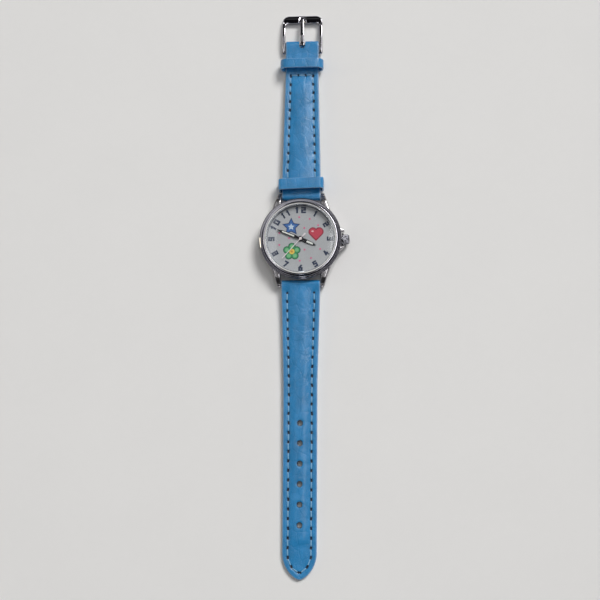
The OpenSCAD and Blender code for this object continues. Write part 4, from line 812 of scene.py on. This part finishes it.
def strapLining(upper):
    # a flat ribbon with rounded edges under the leather
    half, _, low = form(upper)
    k, s = liningForm, strap
    if upper:
        rows = linspace(k["start"], k["end"], 120)
    else:
        rows = concatenate([linspace(k["start"], s["noseY"], 160), s["noseY"]
                            + (s["noseL"] - 0.03) * sin(linspace(0, 1.55, 40)[1:])])
    loop = blockLoop(maximum(half(rows) - k["inset"], 0.02), s["lining"] / 2, k["corner"])
    return columns(loop[..., 0], rows[:, None],
                   low(rows)[:, None] + s["lining"] / 2 + loop[..., 1])


def levels(outline, low, high):
    # the outline at two heights, as the grid of an upright pin
    return array([columns(outline[:, 0], outline[:, 1], z) for z in (low, high)])


def pins(centres, radius, low, high, steps=48):
    # upright pins, one at each centre, turned and moved a little so that no corner falls on a
    # grid line
    a = around(steps, 0.37)
    ring = columns(cos(a) * radius, sin(a) * radius)
    return [levels(ring + centre + 0.003, low, high) for centre in centres]


def slotCutter():
    # the tongue's slot: a half circle at its inner end, straight out past the loop
    r, endY = strap["slotHalf"], strap["buckleY"] + 3
    a = linspace(pi, 2 * pi, 25)
    inner = columns(r * cos(a), strap["slotY"] + r + r * sin(a))
    return levels(concatenate([inner, [[r, endY], [-r, endY]]]), -1, 6)


def stitchShells(upper, places):
    # each stitch is an arched thread: its middle line is arch (1 - t^4) less dive t^8 high, and
    # round it goes a flattened circle
    t = sin(linspace(-pi / 2, pi / 2, 13))[None, :, None]
    a = around(8)[None, None, :]
    fall = sqrt(maximum(1 - t ** 10, 0.0004))
    side = cos(a) * stitch["width"] / 2 * fall
    lift = sin(a) * stitch["half"] * fall + stitch["arch"] * (1 - t ** 4) \
        - stitch["dive"] * t ** 8
    length = t * stitch["length"] / 2 + 0 * a
    px, py, turn = (places[:, k, None, None] for k in range(3))
    c, s = cos(turn), sin(turn)
    y = py + s * length + c * side
    rise = strapRise(places[:, 0], places[:, 1], upper, places)[:, None, None]
    base = form(upper)[1](y) - strap["shelf"] + rise
    return columns(px + c * length - s * side, y, base + lift + 0.02)


for upper, side in ((True, "upper"), (False, "lower")):
    places, flip, body = stitchPlaces(upper), (1, 1 if upper else -1, 1), side + "_strap"
    cutter = [slotCutter()] if upper else pins(buckleHoles, holes["radius"], -1, 5)
    leather = makeMesh(side + "Leather", rods(strapLeather(upper, places)), flip)
    lining = makeMesh(side + "Lining", rods(strapLining(upper)), flip)
    for thing in (leather, lining):
        combine(thing, makeMesh("cutter", rods(*cutter), flip), "DIFFERENCE")
    x, y = (meshPoints(leather) * flip).T[:2]
    addValue(leather, "edgeNear", bell(edgeGap(x, y, upper), 0.28))
    # pitNear marks the needle and buckle holes, where the leather look paints shade and turns
    # rougher
    pits = minimum(1.8 * closeness(x, y, needleHoles(places), 0.30), 1)
    if not upper:
        pits = maximum(pits, 1 - eased(0.9, 1.12, sqrt(nearest(x, y, buckleHoles))))
    addValue(leather, "pitNear", pits)
    addPiece(leather, body, "blue_leather", (body + "_top", body + "_filler"), 50)
    addPiece(lining, body, "lining_leather", (body + "_lining",))
    sewing = makeMesh(side + "Stitches", rods(*stitchShells(upper, places)), flip)
    x, y = (meshPoints(sewing) * flip).T[:2]
    own = ((x[:, None] - places[:, 0]) ** 2 + (y[:, None] - places[:, 1]) ** 2).argmin(1)
    px, py, turn = places[own].T
    c, s = cos(turn), sin(turn)
    along, across = (x - px) * c + (y - py) * s, (y - py) * c - (x - px) * s
    addValue(sewing, "twist", along * 8.0 + across * 6.0)
    addPiece(sewing, body, "thread", (body + "_stitching",))
    print(side, "strap:", len(places), "stitches,", len(leather.data.polygons), "leather faces")


# ---- keepers

keepers = dict(
    freeKeeper=dict(y=20.30, length=4.1, halfWidth=8.2, low=0.0, high=6.4, corner=0.95, lean=2.2,
                    bow=0.10, thick=0.65, node="free_keeper", body="keeper"),
    fixedKeeper=dict(y=65.9, length=3.5, halfWidth=7.95, low=0.1, high=5.9, corner=2.3, lean=0.0,
                     bow=0.16, thick=0.65, node="fixed_keeper", body="upper_strap"))


def keeperShell(k):
    # a flat leather strip bent round: its section (thickness, length) carried round a loop with
    # rounded corners; the top bows up by bow (1 - (x / half) squared), the strip leans by lean
    middle, thick = (k["low"] + k["high"]) / 2, k["thick"]
    loop = blockLoop(k["halfWidth"] - thick / 2, middle - k["low"] - thick / 2, k["corner"], 9)[0]
    path = evenSteps(loop, 150, True)
    run = unit(roll(path, -1, 0) - roll(path, 1, 0))
    out = columns(run[:, 1], -run[:, 0])
    out *= np.sign((out * path).sum(1)).mean()
    section = evenSteps(blockLoop(thick / 2, k["length"] / 2, 0.2)[0], 72, True)
    swell = 1 + 0.10 * cos(section[:, 1] / k["length"] * pi)
    x = path[:, :1] + out[:, :1] * section[:, 0] * swell
    z = path[:, 1:] + out[:, 1:] * section[:, 0] * swell
    onTop = eased(0, 1.5, z)
    rise = k["bow"] * (1 - (x / k["halfWidth"]) ** 2) * onTop
    y = section[:, 1] + np.tan(radians(k["lean"])) * x + k["y"]
    return columns(x, y, middle + z + rise - k["bow"] * onTop)


for name, k in keepers.items():
    keeper = makeMesh(name, hoop(keeperShell(k)))
    x, y, z = meshPoints(keeper).T
    off = np.abs(y - k["y"] - np.tan(radians(k["lean"])) * x)
    addValue(keeper, "edgeNear", eased(k["length"] / 2 - 0.3, k["length"] / 2, off) * 0.8)
    addValue(keeper, "pitNear", 0 * x)
    addPiece(keeper, k["body"], "blue_leather", (k["node"],), 50)
print("keepers are made")

# ---- case, bezel, glass and rings

# outlines of (radius, z) with the rounding of each corner. The glass's outline starts and ends
# on the axis, so the points of those two corners are cut off and it stays open
rings = dict(
    bezelRing=dict(
        slot="polished_chrome", node="bezel", sides=256, crease=50, steps=5,
        line=[(13.70, 4.96), (14.55, 4.96), (14.80, 5.22), (14.80, 5.78), (14.47, 5.95),
              (14.45, 6.12), (14.05, 6.40), (14.00, 6.50), (13.42, 6.88), (13.36, 6.98),
              (13.03, 7.00), (12.96, 6.92), (12.96, 5.97), (13.70, 5.97)],
        soft=[0.05, 0.1, 0.1, 0.08, 0.05, 0.05, 0.04, 0.04, 0.04, 0.04, 0.03, 0.03, 0.05, 0.05]),
    crystalGlass=dict(
        slot="mineral_glass", node="crystal", sides=256, crease=30, steps=4, cut=3,
        line=[(0.0, 6.0), (12.55, 6.0), (12.55, 6.9), (12.25, 7.2), (0.0, 7.2)],
        soft=[0, 0.05, 0.05, 0.06, 0]),
    crystalSeal=dict(
        slot="nylon", node="crystal_gasket", sides=192, crease=50, steps=4,
        line=[(12.56, 5.97), (12.95, 5.97), (12.95, 6.62), (12.56, 6.68)], soft=0.08),
    innerRing=dict(
        slot="ring_silver", node="inner_ring", sides=256, crease=40, steps=4,
        line=[(12.0, 4.7), (12.9, 4.7), (12.9, 5.98), (12.45, 5.98), (12.40, 5.84)],
        soft=[0.04, 0.02, 0.02, 0.05, 0.05]),
    backSeal=dict(
        slot="seal", node="back_gasket", sides=160, crease=50, steps=4,
        line=[(13.1, 0.91), (13.65, 0.91), (13.65, 1.12), (13.1, 1.12)], soft=0.06))
for name, ring in rings.items():
    outline, cut = softCorners(ring["line"], ring["soft"], ring["steps"]), ring.get("cut", 0)
    shell = turned(outline[cut:len(outline) - cut], ring["sides"])
    addPiece(makeMesh(name, hoop(shell, not cut)), "case", ring["slot"], (ring["node"],),
             ring["crease"])

lug = dict(gap=7.15, rootY=8.5, rootX=11.37, barY=16.2, barZ=2.25, tipR=1.1, tipW=1.2, lowZ=1.0,
           topZ=4.95, shoulderY=14.4, shoulderZ=4.6, power=5.5)


def lugShell():
    # superellipse sections from the root to the tip: side heights follow the eased shoulder line,
    # and past the bar's axis the tip's circle z = barZ +- sqrt(tipR^2 - dy^2)
    g = lug
    y = concatenate([linspace(g["rootY"], g["barY"], 40),
                     g["barY"] + g["tipR"] * sin(linspace(0, pi / 2, 14)[1:])])
    drop = g["tipR"] * roundEnd((y - g["barY"]) / g["tipR"])
    high = bentLine(y, [g["rootY"], g["shoulderY"], g["barY"]],
                    [g["topZ"], g["shoulderZ"], g["barZ"] + g["tipR"]], 0.7)
    low = interp(y, [g["rootY"], g["barY"]], [g["lowZ"], g["barZ"] - g["tipR"]])
    past = y > g["barY"]
    high = np.where(past, g["barZ"] + drop, maximum(high, g["barZ"] + 1.0))
    low = np.where(past, g["barZ"] - drop, low)
    outX = bentLine(y, [g["rootY"], g["barY"] + g["tipR"]], [g["rootX"], g["gap"] + g["tipW"]], 0.0)
    section = gentleLoop(g["power"], 56)
    return columns(spanned(g["gap"], outX, section[:, 0]), y[:, None],
                   spanned(low, high, section[:, 1]))


# each pair is the value at startX and what it gains by length further out
guard = dict(startX=13.1, tipX=15.4, tipR=0.3, length=2.6, near=(2.55, 0.2), far=(5.15, -2.05),
             high=(4.95, -0.25), low=(1.4, 0.35), power=4.5)


def guardShell():
    # a horn beside the crown: superellipse sections from inside the case out to a rounded tip
    g = guard
    x = concatenate([linspace(g["startX"], g["tipX"], 16), g["tipX"] + g["tipR"] * sin(
        linspace(0, pi / 2, 8)[1:])])
    share = (x - g["startX"]) / g["length"]
    near, far, high, low = (start + gain * share for start, gain in (
        g["near"], g["far"], g["high"], g["low"]))
    end = roundEnd((x - g["tipX"]) / g["tipR"])
    section = gentleLoop(g["power"], 40)
    return columns(x[:, None], spanned(near, far, section[:, 0], 0.35 + 0.65 * end),
                   spanned(low, high, section[:, 1], 0.6 + 0.4 * end))


middle = dict(line=[(12.6, 0.92), (13.8, 0.92), (14.2, 1.32), (14.2, 4.94), (13.68, 4.95),
                    (13.68, 5.94), (12.6, 5.94)], soft=[0, 0.12, 0.14, 0.16, 0.03, 0.05, 0],
              boreR=13.0, tubeR=0.92, tubeZ=3.0)
caseMiddle = makeMesh("caseMiddle", hoop(turned(softCorners(middle["line"], middle["soft"]), 256)))
for sx in (1, -1):
    for sy in (1, -1):
        combine(caseMiddle, makeMesh("lug", rods(lugShell()), (sx, sy, 1)), "UNION")
for sy in (1, -1):
    combine(caseMiddle, makeMesh("guard", rods(guardShell()), (1, sy, 1)), "UNION")
tubeWay = pins([[0, 0]], middle["tubeR"], 12.0, 15.0, 40)[0][..., ::-1] + [0, 0, middle["tubeZ"]]
for name, grid in (("bore", pins([[0, 0]], middle["boreR"], 0.2, 8, 256)[0]), ("way", tubeWay)):
    combine(caseMiddle, makeMesh(name, rods(grid)), "DIFFERENCE")
addPiece(caseMiddle, "case", "polished_chrome", ("case_body",), 32, "case_chrome")
print("case:", len(caseMiddle.data.polygons), "faces")

# ---- crown

crown = dict(x=14.85, z=3.0, flangeR=2.3, flangeT=0.55, knobR=1.75, length=2.8, flutes=24,
             fluteDepth=0.16, sealX=15.37, sealR=1.185, sealT=0.24)


def crownShell():
    # radius by place along the axis; on the knob it dips by depth |cos(n a / 2)|^6 into flutes;
    # the end is a shallow dome with one turned ring
    c = crown
    line = softCorners([(0.0, 0.9), (0.0, c["flangeR"]), (c["flangeT"], c["flangeR"]),
                        (c["flangeT"] + 0.05, c["knobR"] + 0.06), (2.35, c["knobR"] + 0.02),
                        (2.62, c["knobR"] - 0.28), (2.66, 1.12), (2.60, 1.06), (2.60, 0.94),
                        (2.72, 0.88), (c["length"], 0.02), (1.9, 0.02), (1.9, 0.9)],
                       [0.02, 0.12, 0.12, 0.05, 0.14, 0.1, 0.05, 0.03, 0.03, 0.05, 0.0, 0, 0.02])
    a = around(288)[:, None]
    onKnob = eased(0.62, 0.75, line[:, 0]) * (1 - eased(2.35, 2.62, line[:, 0])) \
        * (line[:, 1] > 1.4)
    r = line[:, 1] - c["fluteDepth"] * np.abs(cos(c["flutes"] * a / 2)) ** 6 * onKnob
    return columns(c["x"] + line[:, 0], r * cos(a), c["z"] + r * sin(a))


def crownSeal():
    # a ring of round section about the crown's axis
    c, a, b = crown, around(120)[:, None], around(20)
    r = c["sealR"] + c["sealT"] * cos(b)
    return columns(c["sealX"] + c["sealT"] * sin(b), cos(a) * r, c["z"] + sin(a) * r)


# the crown takes the darker copy of the chrome: painted shade
addPiece(makeMesh("crownKnob", hoop(crownShell())), "winder", "polished_chrome", ("crown",), 40,
         "crown_chrome_shaded")
addPiece(makeMesh("crownSeal", hoop(crownSeal())), "winder", "seal", ("crown_gasket",))

# ---- buckle

buckle = dict(halfWidth=7.45, armIn=6.3, barY=74.2, tailY=70.6, tailR=0.6, windowY=82.7,
              outerY=85.7, outerR=2.6, innerR=1.3, thick=1.5, bendR=30.0, startZ=1.95, endZ=0.8,
              slope=0.42, notch=0.5, notchHalf=0.95)


def frameZ(y):
    # height of the frame's middle: an arc of radius bendR through the bar's axis and the outer edge
    b = buckle
    chordY, chordZ = b["outerY"] - b["barY"], b["endZ"] - b["startZ"]
    length = np.hypot(chordY, chordZ)
    rise = sqrt(b["bendR"] ** 2 - (length / 2) ** 2)
    cy = (b["barY"] + b["outerY"]) / 2 + chordZ / length * rise
    cz = (b["startZ"] + b["endZ"]) / 2 - chordY / length * rise
    return cz + sqrt(maximum(b["bendR"] ** 2 - (y - cy) ** 2, 0))


def buckleShell():
    # two matching lines, the outer and the window edge, from the left tail over the bar to the
    # right tail; across them a superellipse, its top on the outer bar sloping in to the window
    # and notched in the middle for the tongue
    b = buckle
    armEnd, innerEnd = b["outerY"] - b["outerR"], b["windowY"] - b["innerR"]
    arm = concatenate([
        b["tailY"] + b["tailR"] * (1 - cos(linspace(0, pi / 2, 8)[:-1])),
        linspace(b["tailY"] + b["tailR"], armEnd, 36)])
    armIn = interp(arm, [b["tailY"], armEnd], [b["tailY"], innerEnd])
    a = linspace(pi, pi / 2, 18)

    def edge(halfWidth, armY, cornerX, cornerY, r, barY):
        # up the arm, round the corner and along the bar to its middle
        bar = linspace(-cornerX, 0, 26)[1:]
        return concatenate([columns(-halfWidth, armY), columns(
            -cornerX + r * cos(a), cornerY + r * sin(a))[1:], columns(bar, barY)])

    outer = edge(b["halfWidth"], arm, b["halfWidth"] - b["outerR"], armEnd, b["outerR"],
                 b["outerY"])
    inner = edge(b["armIn"], armIn, b["armIn"] - b["innerR"], innerEnd, b["innerR"], b["windowY"])
    tail = roundEnd(1 - (arm - b["tailY"]) / b["tailR"])
    narrow = concatenate([0.10 + 0.90 * tail, np.ones(len(outer) - len(arm))])
    centre, reach = (outer + inner) / 2, (outer - inner) / 2 * narrow[:, None]
    slim = 1 - 0.45 * (1 - eased(b["tailY"], b["barY"] - 1.2, centre[:, 1]))
    slim[len(arm):] = 1
    thick = b["thick"] / 2 * narrow * slim
    centre, reach = (concatenate([p, (p * [-1, 1])[-2::-1]]) for p in (centre, reach))
    thick = concatenate([thick, thick[-2::-1]])
    loop = gentleLoop(4.2, 44)
    xy = centre[:, None] + reach[:, None] * loop[None, :, :1]
    x, y = xy[..., 0], xy[..., 1]
    z = frameZ(y) + thick[:, None] * loop[:, 1]
    windowY, upward = b["windowY"], maximum(loop[:, 1], 0)
    onBar = eased(windowY - 1.8, windowY + 0.3, centre[:, 1])[:, None]
    z -= onBar * upward * b["slope"] * (1 - eased(windowY - 0.1, windowY + 1.25, y))
    z -= upward * b["notch"] * np.exp(-(x / b["notchHalf"]) ** 4) \
        * (1 - eased(windowY + 1.6, windowY + 2.4, y)) * (y > windowY - 1.3)
    return columns(x, y, z)


tongue = dict(eyeR=1.1, boreR=0.7, halfWidth=0.75, half=0.4, rootHalf=0.2, tipY=84.7, tipL=0.7,
              gap=0.05, roll=(-5, -268), rollSteps=40)


def tongueShell():
    # a strip rolled round the bar and out over the frame: its middle line runs round the bar's
    # axis, then leaves it tangentially and eases to lie gap above the frame's arc
    b, t = buckle, tongue
    r, rolled, barY = (t["eyeR"] + t["boreR"]) / 2, t["rollSteps"], b["barY"]
    a = linspace(radians(t["roll"][0]), radians(t["roll"][1]), rolled)
    y = linspace(barY + 0.6, t["tipY"], 60)
    z = frameZ(y) + b["thick"] / 2 + t["gap"] + t["half"]
    start = eased(barY + 0.3, barY + 3.0, y)
    z = start * z + (1 - start) * (b["startZ"] + r + 0.06)
    path = concatenate([columns(barY + r * cos(a), b["startZ"] + r * sin(a)),
                        columns(y, z)])
    run = unit(np.gradient(path, axis=0))
    up = columns(-run[:, 1], run[:, 0])
    up[:rolled] *= -1
    tip = roundEnd((y - (t["tipY"] - t["tipL"])) / t["tipL"], 0.02)
    grown = t["rootHalf"] + (t["half"] - t["rootHalf"]) * eased(barY + 0.5, barY + 2.6, y)
    half = concatenate([np.full(rolled, (t["eyeR"] - t["boreR"]) / 2),
                        grown * (0.4 + 0.6 * tip)])
    wide = t["halfWidth"] * concatenate([np.ones(rolled), tip * (1 - 0.12 * eased(77, 84, y))])
    loop = gentleLoop(3.4, 32)
    yz = path[:, None] + up[:, None] * (half[:, None] * loop[:, 1])[..., None]
    return columns(wide[:, None] * loop[:, 0], yz[..., 0], yz[..., 1])


for name, shell, body, node in (("buckleFrame", buckleShell, "buckle", "buckle_frame"),
                                ("buckleTongue", tongueShell, "buckle_tongue", "tongue")):
    addPiece(makeMesh(name, rods(shell())), body, "polished_chrome", (node,), 45)
print("buckle and tongue are made")

# ---- hands

hands = dict(
    hourBlade=dict(length=6.0, width=1.5, hub=1.0, z=4.95, angle=90 - 114.0, node="hour_hand",
                   body="hours", hole=0.6),
    minuteBlade=dict(length=9.2, width=1.2, hub=0.85, z=5.25, angle=90 - 288.0 - 3.7,
                     node="minute_hand", body="minutes", hole=0.44))
blade = dict(thick=0.15, shares=(0.0, 0.05, 0.26, 0.8, 0.97, 1.0),
             widths=(0.5, 0.5, 1.0, 0.72, 0.2, 0.03),
             section=[(-1, 0), (-0.96, 0.6), (-0.78, 1), (0, 1), (0.78, 1), (0.96, 0.6), (1, 0),
                      (0.9, 0), (0, 0), (-0.9, 0)])


def handShell(h):
    # half width by share of the length, a flat under side and a top that bevels at both edges
    x = linspace(0, 1, 80)[:, None] * h["length"]
    wide = interp(x / h["length"], blade["shares"], blade["widths"]) * h["width"] / 2
    across, up = array(blade["section"]).T
    y, c, s = wide * across, cos(radians(h["angle"])), sin(radians(h["angle"]))
    return columns(c * x - s * y, s * x + c * y, h["z"] + blade["thick"] * up)


for name, h in hands.items():
    hand = makeMesh(name, rods(handShell(h)))
    low, high = h["z"], h["z"] + blade["thick"]
    hub = softCorners([(h["hole"], low), (h["hub"], low), (h["hub"], high), (h["hole"], high)],
                      [0.01, 0.01, 0.05, 0.03], 4)
    drill = pins([[0, 0]], h["hole"], 4, 6, 64)
    combine(hand, makeMesh("drill", rods(*drill)), "DIFFERENCE")
    combine(hand, makeMesh("hub", hoop(turned(hub, 64))), "UNION")
    addPiece(hand, h["body"], "hand_black", (h["node"],), 30)
print("hands are made")
